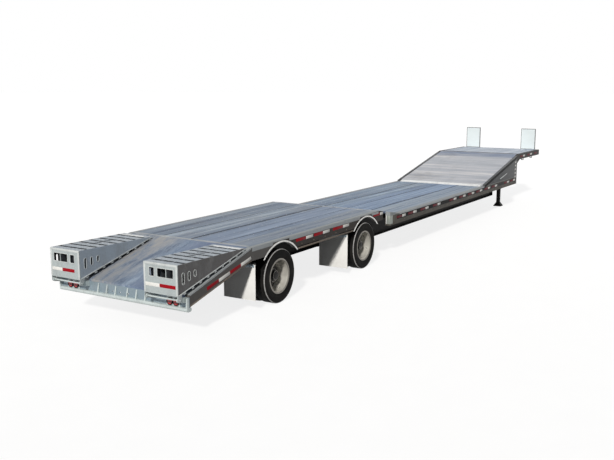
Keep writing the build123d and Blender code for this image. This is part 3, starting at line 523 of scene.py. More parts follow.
galvanised = galvanised_finish("tail_galvanised_zinc", (0.22, 0.28, 0.325), TAIL_ZONES)
sill_metal = galvanised_finish("sill_bright_zinc", (0.80, 0.81, 0.81))
flange_metal = galvanised_finish("flange_worn_zinc", (0.58, 0.61, 0.61))
cap_metal = galvanised_finish("rail_cap_bare_metal", (0.25, 0.27, 0.285))
plate_metal = galvanised_finish("rail_end_plate_zinc", (0.33, 0.36, 0.33))
ramp_metal = galvanised_finish("ramp_galvanised_steel", (0.33, 0.375, 0.425), RAMP_ZONES)
rim_metal = rim_finish("rim_polished_aluminium_painted_shade_disc", 1.017)
# The lip's dark, dull tone is painted shade on the part of the ring that the sun does not reach.
rim_lip_painted_shade_metal = bright_finish("rim_lip_aluminium_painted_shade", (0.26, 0.245, 0.22), 0.4, 0.6)
trim_metal = bright_finish("arch_trim_aluminium", (0.86, 0.86, 0.85), 0.35, 0.3)
bolt_metal = bright_finish("bolt_zinc_steel", (0.62, 0.62, 0.60), 0.35)
# The hub's near-black is partly a dark casting and partly painted shade in the wheel's dish.
hub_metal = paint_finish("hub_dark_casting_and_painted_shade", (0.014, 0.014, 0.015), ROAD_DUST, 0.9, 0.42, 0.12)
print("metal finishes: 11")

# %% [markdown]
# ## Rubber, lenses and tape
# Tyres are near black with grey dust in the sidewalls. The lamp lenses are glossy red plastic. The
# safety tape is red and white film with a fine honeycomb of prisms, which a small Voronoi pattern
# gives in both colour and relief.

# %% Rubber, lens and tape finishes
TYRE_DUST = (0.16, 0.15, 0.135)
RIB_SCALE = 28.0
PRISM_SCALE = 140.0


def rubber_finish(name, shade, dust_share, smoothest=0.55):
    """Worn rubber with dust in it."""
    finish = new_finish(name, specular=0.06)
    speckle = cloud(finish, 18.0, 7.0, 0.7)
    patches = cloud(finish, 3.0, 4.0, 0.6)
    tone = colours(finish, speckle, [
        (0.3, shade * 0.7, shade * 0.7, shade * 0.72),
        (0.7, shade * 1.4, shade * 1.38, shade * 1.36),
    ])
    tone = mixed(finish, spread(finish, patches, 0.4, 0.7, 0.0, dust_share), tone, TYRE_DUST)
    feed(finish, "Base Color", tone)
    feed(finish, "Roughness", spread(finish, speckle, 0.3, 0.7, smoothest, smoothest + 0.25))
    relief(finish, speckle, 0.15, 0.001)
    return finish


def lens_finish(name, shade):
    """Moulded lamp plastic with ribs under a glossy face."""
    finish = new_finish(name, roughness=0.12)
    ribs = texture(finish, "Wave", RIB_SCALE)
    ribs.bands_direction = "Z"
    tone = colours(finish, ribs.outputs["Fac"], [(0.0, *scaled(shade, 0.7)), (1.0, *scaled(shade, 1.2))])
    feed(finish, "Base Color", tone)
    relief(finish, ribs.outputs["Fac"], 0.2, 0.001)
    return finish


def tape_finish(name, shade):
    """Reflective film with small prism cells and scuffs."""
    finish = new_finish(name, specular=0.12)
    cells = texture(finish, "Voronoi", PRISM_SCALE)
    stops = [(0.1, *scaled(shade, 1.1)), (0.7, *scaled(shade, 0.8))]
    tone = colours(finish, cells.outputs["Distance"], stops)
    wear = cloud(finish, 9.0, 6.0, 0.7)
    tone = mixed(finish, spread(finish, wear, 0.55, 0.75, 0.0, 0.3), tone, scaled(shade, 0.5))
    feed(finish, "Base Color", tone)
    relief(finish, cells.outputs["Distance"], 0.1, 0.0005)
    return finish


tyre_rubber = rubber_finish("tyre_rubber", 0.006, 0.07)
# The shoulder rings' pale grey is a painted highlight of the sun on the tyre shoulders.
shoulder_highlight_rubber = rubber_finish("tyre_shoulder_painted_highlight", 0.34, 0.2, 0.45)
spring_rubber = rubber_finish("air_spring_rubber", 0.016, 0.25)
lens_red = lens_finish("lamp_red_lens", (0.42, 0.015, 0.02))
tape_red = tape_finish("tape_red_film", (0.31, 0.004, 0.011))
tape_dull_red = tape_finish("tape_faded_red_film", (0.115, 0.011, 0.016))
tape_white = tape_finish("tape_white_film", (0.80, 0.80, 0.78))
print("rubber, lens and tape finishes: 7")

# %% [markdown]
# ## Finishes on the CAD parts
# Each CAD part keeps its shape and takes a finish in its material slot. A short table gives the
# finish by the start of the part's name, and the first line that fits is used.

# %% Dress the CAD parts
NODE_FINISHES = [
    ("rear_deck", deck_rear), ("tail_floor", deck_slope), ("transition_floor", deck_slope),
    ("main_deck", deck_main), ("front_ramp_floor", deck_front), ("front_ramp_sill", sill_metal),
    ("upper_deck", deck_upper), ("headboard", head_paint), ("mud_flaps", flap_paint),
    ("mud_flap_bars", frame_paint), ("ramp_hinge_pins", galvanised),
    ("ramp_left", ramp_metal), ("ramp_right", ramp_metal), ("tail_beam", galvanised),
    ("tail_lamps", lens_red), ("wheel_arch_trims", trim_metal), ("front_ramp_panel", panel_paint),
    ("air_springs", spring_rubber), ("kingpin", bolt_metal),
    ("rear_rail", rear_rail_paint), ("main_rail", main_rail_paint), ("upper_rail", rail_paint),
    ("front_bolster", rail_paint), ("rear_tyres", tyre_rubber), ("front_tyres", tyre_rubber),
    ("rear_wheels", rim_metal), ("front_wheels", rim_metal),
]
for name, part in nodes.items():
    chosen = next((finish for start, finish in NODE_FINISHES if name.startswith(start)), frame_paint)
    part.material_slots[0].material = chosen
print("dressed", len(nodes), "CAD parts")

# %% [markdown]
# ## Mesh helpers
# New pieces start from a few bmesh operators: a scaled cube for plates, a spin for round parts, a
# short cone for bolts. One helper ends them all: it turns the normals outwards, keeps hard edges
# hard, gives the piece its finish and lets it ride on a CAD body.

# %% Mesh helpers
SMOOTH_ANGLE = math.radians(38.0)
PLATE_EDGE = 0.001
HEAD_TAPER = 0.82


def plate(shape, low, high, turn=0.0, round_off=0.0):
    """A box between two corners, turned about Y round its middle, with its edges rounded."""
    middle = (Vector(low) + Vector(high)) / 2
    size = Vector(high) - Vector(low)
    matrix = Matrix.Translation(middle) @ Matrix.Rotation(turn, 4, "Y") @ Matrix.Diagonal((*size, 1.0))
    made = bmesh.ops.create_cube(shape, size=1.0, matrix=matrix)["verts"]
    if round_off:
        edges = list({edge for vert in made for edge in vert.link_edges})
        bmesh.ops.bevel(shape, geom=edges, offset=round_off, segments=2, profile=0.5,
                        affect="EDGES", material=-1)


def side_plate(shape, sign, run, out, heights, turn=0.0, round_off=PLATE_EDGE):
    """A plate on one side: its reach along X, its distances from the middle, and its heights."""
    right, left = sorted((sign * out[0], sign * out[1]))
    plate(shape, (run[0], right, heights[0]), (run[1], left, heights[1]), turn, round_off)


def bolt(shape, middle, direction, radius, height, sides=6):
    """A bolt or rivet head that stands on middle and points along direction."""
    turn = Vector(direction).to_track_quat("Z", "Y").to_matrix().to_4x4()
    matrix = Matrix.Translation(Vector(middle)) @ turn @ Matrix.Translation((0, 0, height / 2))
    bmesh.ops.create_cone(shape, cap_ends=True, segments=sides, radius1=radius,
                          radius2=radius * HEAD_TAPER, depth=height, matrix=matrix)


def turned(shape, profile, centre, direction, steps, closed=True):
    """A profile of (distance along the axis, radius) spun round an axis through centre."""
    corners = [shape.verts.new((radius, 0.0, along)) for along, radius in profile]
    pairs = list(zip(corners, corners[1:]))
    if closed:
        pairs.append((corners[-1], corners[0]))
    edges = [shape.edges.new(pair) for pair in pairs]
    already = set(shape.verts) - set(corners)
    bmesh.ops.spin(shape, geom=corners + edges, cent=(0, 0, 0), axis=(0, 0, 1), angle=math.tau,
                   steps=steps, use_merge=True)
    turn = Vector(direction).to_track_quat("Z", "Y").to_matrix().to_4x4()
    bmesh.ops.transform(shape, matrix=Matrix.Translation(Vector(centre)) @ turn,
                        verts=[vert for vert in shape.verts if vert not in already])


def finished(name, shape, finish, slot, body="chassis"):
    """Close the bmesh into an object that rides on a body."""
    bmesh.ops.remove_doubles(shape, verts=shape.verts, dist=1e-6)
    bmesh.ops.recalc_face_normals(shape, faces=shape.faces)
    for face in shape.faces:
        face.smooth = True
    for edge in shape.edges:
        edge.smooth = len(edge.link_faces) == 2 and edge.calc_face_angle(0.0) < SMOOTH_ANGLE
    mesh = bpy.data.meshes.new(name)
    shape.to_mesh(mesh)
    shape.free()
    mesh.materials.append(finish)
    piece = bpy.data.objects.new(name, mesh)
    bpy.context.scene.collection.objects.link(piece)
    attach(piece, body)
    return piece


print("mesh helpers ready")

# %% [markdown]
# ## Tyres
# A trailer tyre has four straight grooves, rounded shoulders and a bulging sidewall with thin
# rings. One half profile is written out, mirrored, and spun about the axle, twice for a dual pair.
# The new tyres stand for the plainer CAD tyres, which stay behind for collision. A thin ring on
# each shoulder is pale grey rubber, a painted highlight where the low sun catches the shoulder.

# %% Tyres
TYRE_STEPS = 96
HALF_TYRE = [
    (0.0955, 0.2865), (0.0957, 0.3005), (0.1078, 0.3020), (0.1105, 0.3150), (0.1128, 0.3160),
    (0.1140, 0.3240), (0.1165, 0.3330), (0.1205, 0.3560), (0.1224, 0.3800), (0.1216, 0.3990),
    (0.1228, 0.4010), (0.1220, 0.4070), (0.1195, 0.4080), (0.1165, 0.4270), (0.1130, 0.4430),
    (0.1075, 0.4540), (0.0990, 0.4605), (0.0900, 0.4630), (0.0720, 0.4634), (0.0705, 0.4520),
    (0.0620, 0.4520), (0.0605, 0.4635), (0.0280, 0.4635), (0.0265, 0.4520), (0.0180, 0.4520),
    (0.0165, 0.4635),
]
SHOULDER_RING = [
    (0.1102, 0.4500), (0.1082, 0.4545), (0.0988, 0.4615), (0.0984, 0.4600), (0.1070, 0.4532),
    (0.1090, 0.4495),
]
DUAL_HALF = 0.160
tyre_profile = HALF_TYRE + [(-along, radius) for along, radius in reversed(HALF_TYRE)]
WHEELS = []
for end in ("rear", "front"):
    for side in SIDES:
        low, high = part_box(f"{end}_tyres_{side}")
        WHEELS.append((end, side, f"{end}_wheel_{side}", (low + high) / 2))
for end, side, body, middle in WHEELS:
    tread = bmesh.new()
    shoulders = bmesh.new()
    for offset in (-DUAL_HALF, DUAL_HALF):
        centre = middle + Vector((0, offset, 0))
        turned(tread, tyre_profile, centre, (0, 1, 0), TYRE_STEPS)
        for way in (-1, 1):
            turned(shoulders, SHOULDER_RING, centre, (0, way, 0), TYRE_STEPS)
    tyres = finished(f"{end}_tyre_pair_{side}", tread, tyre_rubber, "tyre", body)
    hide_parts(f"{end}_tyres_{side}")
    finished(f"{end}_tyre_shoulders_{side}", shoulders, shoulder_highlight_rubber, "tyre", body)
print("tyres: 4 dual pairs, profile of", len(tyre_profile), "points")

# %% [markdown]
# ## Wheel fittings
# The polished dish of each rim holds ten flanged nuts and a dark hub with an oil cap; the hub's
# near-black is partly painted shade in the dish. A rolled lip runs round the rim's outer edge, given
# a darker tone than the dish as painted shade. A nut is a six-sided cone on a round washer with the
# end of its stud; the hub and lip are spun profiles that sit just over the CAD hub.

# %% Hubs, nuts and rim lips
NUT_CIRCLE = 0.143
NUT_COUNT = 10
DISC_FACE = 0.022
NUT_PARTS = [
    # distance from the disc, radius, height, sides
    (0.000, 0.0230, 0.006, 12), (0.005, 0.0185, 0.032, 6), (0.036, 0.0100, 0.012, 8),
]
HUB_STEPS = 40
LIP_STEPS = 72
HUB_PROFILE = [
    (0.0225, 0.0), (0.0225, 0.1240), (0.0320, 0.1240), (0.0400, 0.1160), (0.1360, 0.1140),
    (0.1480, 0.1100), (0.1485, 0.0900), (0.1560, 0.0860), (0.1570, 0.0800), (0.1880, 0.0795),
    (0.1940, 0.0740), (0.1945, 0.0300), (0.1965, 0.0280), (0.1970, 0.0),
]
LIP_PROFILE = [
    (0.2590, 0.2735), (0.2685, 0.2735), (0.2715, 0.2800), (0.2715, 0.2950), (0.2685, 0.3015),
    (0.2600, 0.3015),
]
for end, side, body, middle in WHEELS:
    outward = Vector((0, SIDES[side], 0))
    hub = bmesh.new()
    turned(hub, HUB_PROFILE, middle, outward, HUB_STEPS, closed=False)
    finished(f"{end}_hub_{side}", hub, hub_metal, "wheel", body)
    lip = bmesh.new()
    turned(lip, LIP_PROFILE, middle, outward, LIP_STEPS)
    finished(f"{end}_rim_lip_{side}", lip, rim_lip_painted_shade_metal, "wheel", body)
    nuts = bmesh.new()
    for index in range(NUT_COUNT):
        angle = math.tau * (index + 0.5) / NUT_COUNT
        spot = middle + NUT_CIRCLE * Vector((math.cos(angle), 0, math.sin(angle)))
        for away, radius, height, sides in NUT_PARTS:
            bolt(nuts, spot + outward * (DISC_FACE + away), outward, radius, height, sides)
    finished(f"{end}_wheel_nuts_{side}", nuts, bolt_metal, "wheel", body)
print("wheels: 4 hubs, 4 rim lips,", 4 * NUT_COUNT, "nuts")

# %% [markdown]
# ## Safety tape
# Red and white reflective tape runs along the side rails and across the ramps' rear plates. Each
# strip is a thin film with rounded edges, laid on the face that carries it. A table lists where
# each run starts and ends, in metres forward of the tail beam's face, as read from the photograph.

# %% Tape on the side rails
TAPE_HEIGHT = 0.052
TAPE_FILM = 0.0015
FILM_EDGE = 0.0005


def side_strip(shape, start, end, height, thickness, face, outward, round_off=FILM_EDGE):
    """A strip between two points (station, z) on an upright face, thick away from the middle."""
    run = Vector((end[0] - start[0], end[1] - start[1]))
    turn = -math.atan2(run.y, run.x)
    half = Vector((run.length / 2, thickness / 2, height / 2))
    centre = Vector((at((start[0] + end[0]) / 2), face + outward * thickness / 2, (start[1] + end[1]) / 2))
    plate(shape, centre - half, centre + half, turn, round_off)


def level(run, height):
    """Both ends of a run of stations at one height."""
    return (run[0], height), (run[1], height)


def rail_strips(name, rows, finish, slot):
    """The same strips on both rails; rows are (start, end, height, thickness, round off)."""
    for side, sign in SIDES.items():
        shape = bmesh.new()
        for start, end, height, thickness, round_off in rows:
            side_strip(shape, start, end, height, thickness, sign * HALF_WIDTH, sign, round_off)
        finished(f"{name}_{side}", shape, finish, slot)


def tape_strip(shape, start, end, outward, base=0.0):
    """A film on a side rail's outer face, or on a band that thick."""
    side_strip(shape, start, end, TAPE_HEIGHT, TAPE_FILM, outward * (HALF_WIDTH + base), outward)


TAIL_TAPE_LOW = (0.412, 0.676)
TAIL_TAPE_RISE = (0.934 - 0.676) / (1.527 - 0.412)


def tail_tape_height(station):
    return TAIL_TAPE_LOW[1] + (station - TAIL_TAPE_LOW[0]) * TAIL_TAPE_RISE


BRIGHT_RUNS = [
    # start, end, height, colour; a height of None follows the sloped tail
    (0.412, 0.700, None, "red"), (0.700, 0.974, None, "white"),
    (0.974, 1.259, None, "red"), (1.259, 1.527, None, "white"),
    (2.857, 3.184, 0.995, "red"), (3.184, 3.422, 0.995, "white"),
    (3.456, 3.773, 0.995, "red"), (3.773, 4.009, 0.995, "white"),
    (4.139, 4.521, 0.995, "red"), (4.521, 4.759, 0.995, "white"),
    (5.800, 6.092, 1.025, "red"), (6.092, 6.231, 1.025, "white"),
    (15.700, 16.000, 1.500, "faded_red"), (16.000, 16.200, 1.500, "white"),
    (16.450, 16.750, 1.500, "faded_red"), (16.750, 16.950, 1.500, "white"),
    (17.200, 17.500, 1.500, "faded_red"),
]
WHITE_BITS = [7.273, 7.862, 8.542, 9.268, 10.314, 10.982, 11.613, 12.237, 12.894, 13.494, 14.594, 15.177]
WHITE_BIT_HALF = 0.09
RED_BIT_LENGTH = 0.28
MAIN_TAPE_HEIGHT = 0.840
BAND_RUN = (6.930, 15.320)
BAND_HEIGHT = 0.082
BAND_THICKNESS = 0.002
TAPES = {
    "red": (tape_red, "red_lens"),
    "faded_red": (tape_dull_red, "red_lens"),
    "white": (tape_white, "white_paint"),
}
for side, sign in SIDES.items():
    films = {colour: bmesh.new() for colour in TAPES}
    for start, end, height, colour in BRIGHT_RUNS:
        first = height or tail_tape_height(start)
        last = height or tail_tape_height(end)
        tape_strip(films[colour], (start, first), (end, last), sign)
    for station in WHITE_BITS:
        back = station - WHITE_BIT_HALF
        front = station + WHITE_BIT_HALF
        for colour, run in (("white", (back, front)), ("faded_red", (back - RED_BIT_LENGTH, back))):
            tape_strip(films[colour], *level(run, MAIN_TAPE_HEIGHT), sign, BAND_THICKNESS)
    for colour, film in films.items():
        finished(f"rail_tape_{colour}_{side}", film, *TAPES[colour])
rub_band = (*level(BAND_RUN, MAIN_TAPE_HEIGHT), BAND_HEIGHT, BAND_THICKNESS, FILM_EDGE)
rail_strips("rub_band", [rub_band], frame_paint, "black_paint")
print("rail tape:", len(BRIGHT_RUNS) + 2 * len(WHITE_BITS), "strips a side")

# %% Tape on the ramps' rear plates
RAMP_TAPE_LOW = 0.790
RAMP_TAPE_RUNS = {
    "right": [("white", 0.677, 0.942), ("red", 0.942, 1.235)],
    "left": [("red", 0.763, 1.024), ("white", 1.024, 1.250)],
}
for side, sign in SIDES.items():
    rear_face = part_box(f"ramp_{side}")[0].x
    for colour, inner, outer in RAMP_TAPE_RUNS[side]:
        film = bmesh.new()
        side_plate(film, sign, (rear_face - TAPE_FILM, rear_face), (inner, outer),
                   (RAMP_TAPE_LOW, RAMP_TAPE_LOW + TAPE_HEIGHT), 0.0, FILM_EDGE)
        finished(f"ramp_tape_{colour}_{side}", film, *TAPES[colour], f"ramp_{side}_body")
print("ramp tape: 4 strips")

# %% [markdown]
# ## Ramp edges
# Pressed flanges stiffen the ramps: slim strips along the lower edges of the side plates, down both
# sides of the rear plate and along its top. The last rung carries a bright worn bar, where wheels
# climb on. Each is a thin plate with rounded edges, turned to the edge that it follows.

# %% Ramp flanges and worn bars
RAMP_INNER = 0.650
RAMP_OUTER = 1.275
FLANGE_WIDTH = 0.032
FLANGE_THICKNESS = 0.004
EDGE_WIDTH = 0.016
EDGE_LIFT = EDGE_WIDTH * 0.5
EDGE_START = (RAMP_FOOT[0] + 0.020, RAMP_FOOT[1] + EDGE_LIFT + 0.008)
EDGE_END = (RAMP_TIP[0], RAMP_TIP[1] + EDGE_LIFT)
FLANGE_HEIGHTS = (RAMP_FOOT[1] + 0.013, RAMP_TOP - FLANGE_WIDTH)
BAR_RUN = (1.272, 1.338)
BAR_SPAN = (0.740, 1.262)
BAR_SINK = 0.001
BAR_PROUD = 0.004


def ramp_top(station):
    """Height of the stowed ramp's upper side."""
    return RAMP_TOP + (station - RAMP_FOOT[0]) * math.tan(RAMP_FALL)


def ramp_bottom(station):
    """Height of the stowed ramp's tread plate."""
    return RAMP_FOOT[1] + (station - RAMP_FOOT[0]) * math.tan(RAMP_SLOPE)


for side, sign in SIDES.items():
    rear_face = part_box(f"ramp_{side}")[0].x
    edges = bmesh.new()
    for face, outward in ((RAMP_INNER, -sign), (RAMP_OUTER, sign)):
        side_strip(edges, EDGE_START, EDGE_END, EDGE_WIDTH, FLANGE_THICKNESS, sign * face, outward,
                   PLATE_EDGE)
    proud = (rear_face - FLANGE_THICKNESS, rear_face)
    for inner in (RAMP_INNER, RAMP_OUTER - FLANGE_WIDTH):
        side_plate(edges, sign, proud, (inner, inner + FLANGE_WIDTH), FLANGE_HEIGHTS)
    side_plate(edges, sign, proud, (RAMP_INNER, RAMP_OUTER), (FLANGE_HEIGHTS[1], RAMP_TOP))
    finished(f"ramp_flanges_{side}", edges, flange_metal, "galvanised", f"ramp_{side}_body")
    bar = bmesh.new()
    top = ramp_top(sum(BAR_RUN) / 2)
    side_plate(bar, sign, [at(station) for station in BAR_RUN], BAR_SPAN, (top - BAR_SINK, top + BAR_PROUD),
               -RAMP_FALL)
    finished(f"ramp_worn_bar_{side}", bar, sill_metal, "galvanised", f"ramp_{side}_body")
print("ramps: 2 sets of flanges, 2 worn bars")

# %% [markdown]
# ## Rims round the ramps' openings
# The windows in the rear plates and the slots in the side plates have rolled rims, which stop the
# thin plate from tearing. A one-face grid is rounded at its corners, inset to leave a ring, opened
# in the middle and given a thickness, so one helper makes windows and slots alike.

# %% Window and slot rims
def rolled_rim(shape, middle, right, size, corner, width, proud):
    """A rounded ring that stands proud on an upright face; right is the face's sideways direction."""
    ring = bmesh.new()
    spread_out = Matrix.Diagonal((size[0] + 2 * width, size[1] + 2 * width, 1.0, 1.0))
    bmesh.ops.create_grid(ring, x_segments=1, y_segments=1, size=0.5, matrix=spread_out)
    bmesh.ops.bevel(ring, geom=list(ring.verts), offset=corner + width, segments=4, profile=0.5,
                    affect="VERTICES", material=-1)
    ring.faces.ensure_lookup_table()
    opening = ring.faces[0]
    bmesh.ops.inset_region(ring, faces=[opening], thickness=width, use_boundary=True,
                           use_even_offset=True)
    bmesh.ops.delete(ring, geom=[opening], context="FACES")
    bmesh.ops.solidify(ring, geom=list(ring.faces), thickness=proud)
    lowest = min(vert.co.z for vert in ring.verts)
    out = Vector(right).cross(Vector((0, 0, 1)))
    turn = Matrix((right, (0, 0, 1), out)).transposed().to_4x4()
    bmesh.ops.transform(ring, matrix=Matrix.Translation(middle) @ turn @ Matrix.Translation((0, 0, -lowest)),
                        verts=ring.verts)
    made = bpy.data.meshes.new("rolled_rim")
    ring.to_mesh(made)
    ring.free()
    shape.from_mesh(made)
    bpy.data.meshes.remove(made)


WINDOWS = [(0.755, 0.845), (0.905, 1.199)]
WINDOW_HEIGHTS = (0.940, 1.065)
SLOT_STATIONS = [-0.090, 0.041, 0.172]
SLOT_WIDTH = 0.044
SLOT_MARGIN = 0.128
WINDOW_RIM = (0.012, 0.009, 0.005)  # corner, width, proud
SLOT_RIM = (SLOT_WIDTH * 0.48, 0.007, 0.004)
for side, sign in SIDES.items():
    rear_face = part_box(f"ramp_{side}")[0].x
    rims = bmesh.new()
    for inner, outer in WINDOWS:
        middle = Vector((rear_face, sign * (inner + outer) / 2, sum(WINDOW_HEIGHTS) / 2))
        size = (outer - inner, WINDOW_HEIGHTS[1] - WINDOW_HEIGHTS[0])
        rolled_rim(rims, middle, (0, -1, 0), size, *WINDOW_RIM)
    for station in SLOT_STATIONS:
        height = ramp_top(station) - ramp_bottom(station) - 2 * SLOT_MARGIN
        for face, outward in ((RAMP_INNER, -sign), (RAMP_OUTER, sign)):
            middle = Vector((at(station), sign * face, (ramp_top(station) + ramp_bottom(station)) / 2))
            rolled_rim(rims, middle, (-outward, 0, 0), (SLOT_WIDTH, height), *SLOT_RIM)
    finished(f"ramp_opening_rims_{side}", rims, flange_metal, "galvanised", f"ramp_{side}_body")
print("rims:", 2 * (len(WINDOWS) + 2 * len(SLOT_STATIONS)))

# %% [markdown]
# ## Deck strips
# Near-black strips on the widest seams between planks, and one at the back edge of the upper deck,
# are painted shade in those gaps. Pale edge plates close the rear deck where the slopes meet it.
# They lie a few millimetres proud, so that they cast a thin line of shadow as on the real floor.

# %% Joint strips
REAR_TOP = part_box("rear_deck")[1].z
MAIN_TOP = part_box("main_deck")[1].z
UPPER_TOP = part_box("upper_deck")[1].z
# Near-black strips on the plank seams and the upper deck's back edge are painted shade in those gaps.
SEAM_SHADE_STRIPS = [
    # low station, high station, middle y, width, height, sunk, proud
    (1.642, 5.953, 0.000, 0.030, REAR_TOP, 0.002, 0.002),
    (1.642, 5.953, 0.609, 0.012, REAR_TOP, 0.002, 0.002),
    (1.642, 5.953, -0.609, 0.012, REAR_TOP, 0.002, 0.002),
    (7.040, 12.380, 0.000, 0.012, MAIN_TOP, 0.002, 0.002),
    (7.040, 12.380, 0.594, 0.022, MAIN_TOP, 0.002, 0.002),
    (7.040, 12.380, -0.594, 0.022, MAIN_TOP, 0.002, 0.002),
    (15.600, 15.680, 0.000, 2.420, UPPER_TOP, 0.002, 0.003),
]
EDGE_PLATES = [
    (1.552, 1.640, 0.000, 2.410, REAR_TOP, 0.001, 0.003),
    (5.955, 6.022, 0.000, 2.410, REAR_TOP, 0.001, 0.003),
]


def deck_strips(name, rows, finish, slot):
    """Flat strips on the decks."""
    shape = bmesh.new()
    for low, high, middle, width, top, sunk, proud in rows:
        side_plate(shape, 1, (at(low), at(high)), (middle - width / 2, middle + width / 2),
                   (top - sunk, top + proud))
    finished(name, shape, finish, slot)


deck_strips("deck_seam_shade_strips", SEAM_SHADE_STRIPS, frame_paint, "black_paint")
deck_strips("deck_edge_plates", EDGE_PLATES, deck_edge, "deck")
print("deck strips:", len(SEAM_SHADE_STRIPS), "and", len(EDGE_PLATES), "edge plates")

# %% [markdown]
# ## Rail caps and lips
# The upper edge of each rail is worn to bare grey metal like the deck beside it, and the lower lip
# is a paler tan. Strips two millimetres thick show both. Over the wheel arches the cap is slimmer,
# so that it passes above the arch trims.

# %% Rail caps and lips
CAP_THICKNESS = 0.002
CAP_RUNS = [
    # start station, end station, middle height, width
    (1.560, 2.145, 1.061, 0.064), (2.147, 2.643, 1.083, 0.020), (2.645, 5.215, 1.061, 0.064),
    (5.217, 5.713, 1.083, 0.020), (5.715, 6.020, 1.061, 0.050), (7.050, 12.500, 0.9015, 0.029),
]
TAIL_CAP = ((0.020, 0.662), (1.530, 1.077), 0.016, CAP_THICKNESS, FILM_EDGE)
LIPS = [
    (*level((2.930, 4.930), 0.850), 0.030, CAP_THICKNESS, FILM_EDGE),
    ((0.030, 0.5075), (1.530, 0.8896), 0.022, CAP_THICKNESS, FILM_EDGE),
]
caps = [(*level(run, height), width, CAP_THICKNESS, FILM_EDGE) for *run, height, width in CAP_RUNS]
rail_strips("rail_caps", [*caps, TAIL_CAP], cap_metal, "grey_paint")
rail_strips("rail_lip", LIPS, lip_paint, "grey_paint")
print("on each rail:", len(caps) + 1, "caps and", len(LIPS), "lips")

# %% [markdown]
# ## Side panels and rail ends
# A black band follows the front ramp's edge on each side panel, white reflectors stand in a row
# before the post at its front, and a slim brace crosses it. A pale wear plate covers the back end
# of each main rail, with a bright edge.

# %% Panel bands, braces, post reflectors and rail end plates
RAIL_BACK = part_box("main_rails")[0].x - TAIL
END_SPAN = (1.215, HALF_WIDTH - 0.001)
END_HEIGHTS = (0.735, 0.912)
END_THICKNESS = 0.003
END_WRAP = (*level((RAIL_BACK + 0.004, RAIL_BACK + 0.120), 0.822), 0.176, END_THICKNESS)
END_EDGE_SPAN = (END_SPAN[0] - 0.016, END_SPAN[0] - 0.001)
END_EDGE_HEIGHTS = (0.735, 0.914)
END_EDGE_THICKNESS = 0.004
PANEL_BAND = ((12.510, 0.906), (15.390, 1.499), 0.075, 0.003, PLATE_EDGE)
PANEL_BRACE = ((13.850, 0.995), (14.450, 1.095), 0.022, 0.004, PLATE_EDGE)
POST_BIT_HEIGHTS = [0.930, 1.040, 1.150, 1.260, 1.360]
POST_BIT_RUN = (15.215, 15.320)
rail_strips("panel_band", [PANEL_BAND], frame_paint, "black_paint")
rail_strips("panel_brace", [PANEL_BRACE], flange_metal, "bright_trim")
reflectors = [(*level(POST_BIT_RUN, height), TAPE_HEIGHT, TAPE_FILM, FILM_EDGE)
              for height in POST_BIT_HEIGHTS]
rail_strips("post_reflectors", reflectors, tape_white, "white_paint")
rail_end = at(RAIL_BACK)
for side, sign in SIDES.items():
    wear = bmesh.new()
    side_plate(wear, sign, (rail_end - END_THICKNESS, rail_end), END_SPAN, END_HEIGHTS)
    side_strip(wear, *END_WRAP, sign * HALF_WIDTH, sign, PLATE_EDGE)
    finished(f"rail_end_plate_{side}", wear, plate_metal, "galvanised")
    edge = bmesh.new()
    side_plate(edge, sign, (rail_end - END_EDGE_THICKNESS, rail_end), END_EDGE_SPAN, END_EDGE_HEIGHTS)
    finished(f"rail_end_edge_{side}", edge, sill_metal, "bright_trim")
print("rail ends at", round(RAIL_BACK, 3))
print("side panels: bands, braces, end plates and", 2 * len(reflectors), "reflectors")

# %% [markdown]
# ## Headboard frames
# Each white headboard is a sheet in a thin grey channel. Four plates round the CAD sheet make the
# channel, and their edges are rounded so that they catch the light.

# %% Headboard frames
CHANNEL = 0.016
CHANNEL_PROUD = 0.004
CHANNEL_EDGE = 0.002
HEADBOARD_INNER = 0.700
low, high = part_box("headboards")
for side, sign in SIDES.items():
    channel = bmesh.new()
    back = low.x - CHANNEL_PROUD
    front = high.x + CHANNEL_PROUD
    right, left = sorted((sign * (HEADBOARD_INNER - CHANNEL_PROUD), sign * (high.y + CHANNEL_PROUD)))
    top = high.z + CHANNEL_PROUD
    for first, last, bottom, upper in (
        (right, right + CHANNEL, low.z, top),
        (left - CHANNEL, left, low.z, top),
        (right + CHANNEL, left - CHANNEL, top - CHANNEL, top),
        (right + CHANNEL, left - CHANNEL, low.z, low.z + CHANNEL),
    ):
        plate(channel, (back, first, bottom), (front, last, upper), 0.0, CHANNEL_EDGE)
    finished(f"headboard_frame_{side}", channel, panel_paint, "grey_paint")
print("headboard frames: 2")

# %% [markdown]
# ## Lamps
# Each tail lamp has a domed red lens with a raised ring, held in a black rubber grommet. Both are
# spun profiles that point to the rear and sit on the CAD lamp.

# %% Lamp lenses and grommets
LENS_PROFILE = [
    (0.000, 0.0), (0.000, 0.0455), (0.004, 0.0445), (0.008, 0.0390), (0.0095, 0.0300), (0.0088, 0.0280),
    (0.0088, 0.0180), (0.0100, 0.0160), (0.0115, 0.0),
]
GROMMET_PROFILE = [
    (-0.010, 0.0545), (0.000, 0.0570), (0.006, 0.0565), (0.009, 0.0525), (0.007, 0.0465), (0.0, 0.0455),
]
LAMP_PLACES = [0.955, 1.072]
LAMP_HEIGHT = 0.546
LAMP_STEPS = 28
lamp_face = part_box("tail_lamps")[0].x
lenses = bmesh.new()
grommets = bmesh.new()
for place_out in LAMP_PLACES:
    for sign in SIDES.values():
        spot = (lamp_face, sign * place_out, LAMP_HEIGHT)
        turned(lenses, LENS_PROFILE, spot, (-1, 0, 0), LAMP_STEPS, closed=False)
        turned(grommets, GROMMET_PROFILE, spot, (-1, 0, 0), LAMP_STEPS)
finished("lamp_lenses", lenses, lens_red, "red_lens")
finished("lamp_grommets", grommets, spring_rubber, "rubber")
print("lamps:", 2 * len(LAMP_PLACES), "lenses and grommets")

# %% [markdown]
# ## Flap clamps
# The mud flaps hang from bars in the wheels' wake. A flat clamp with four bolts holds each one.

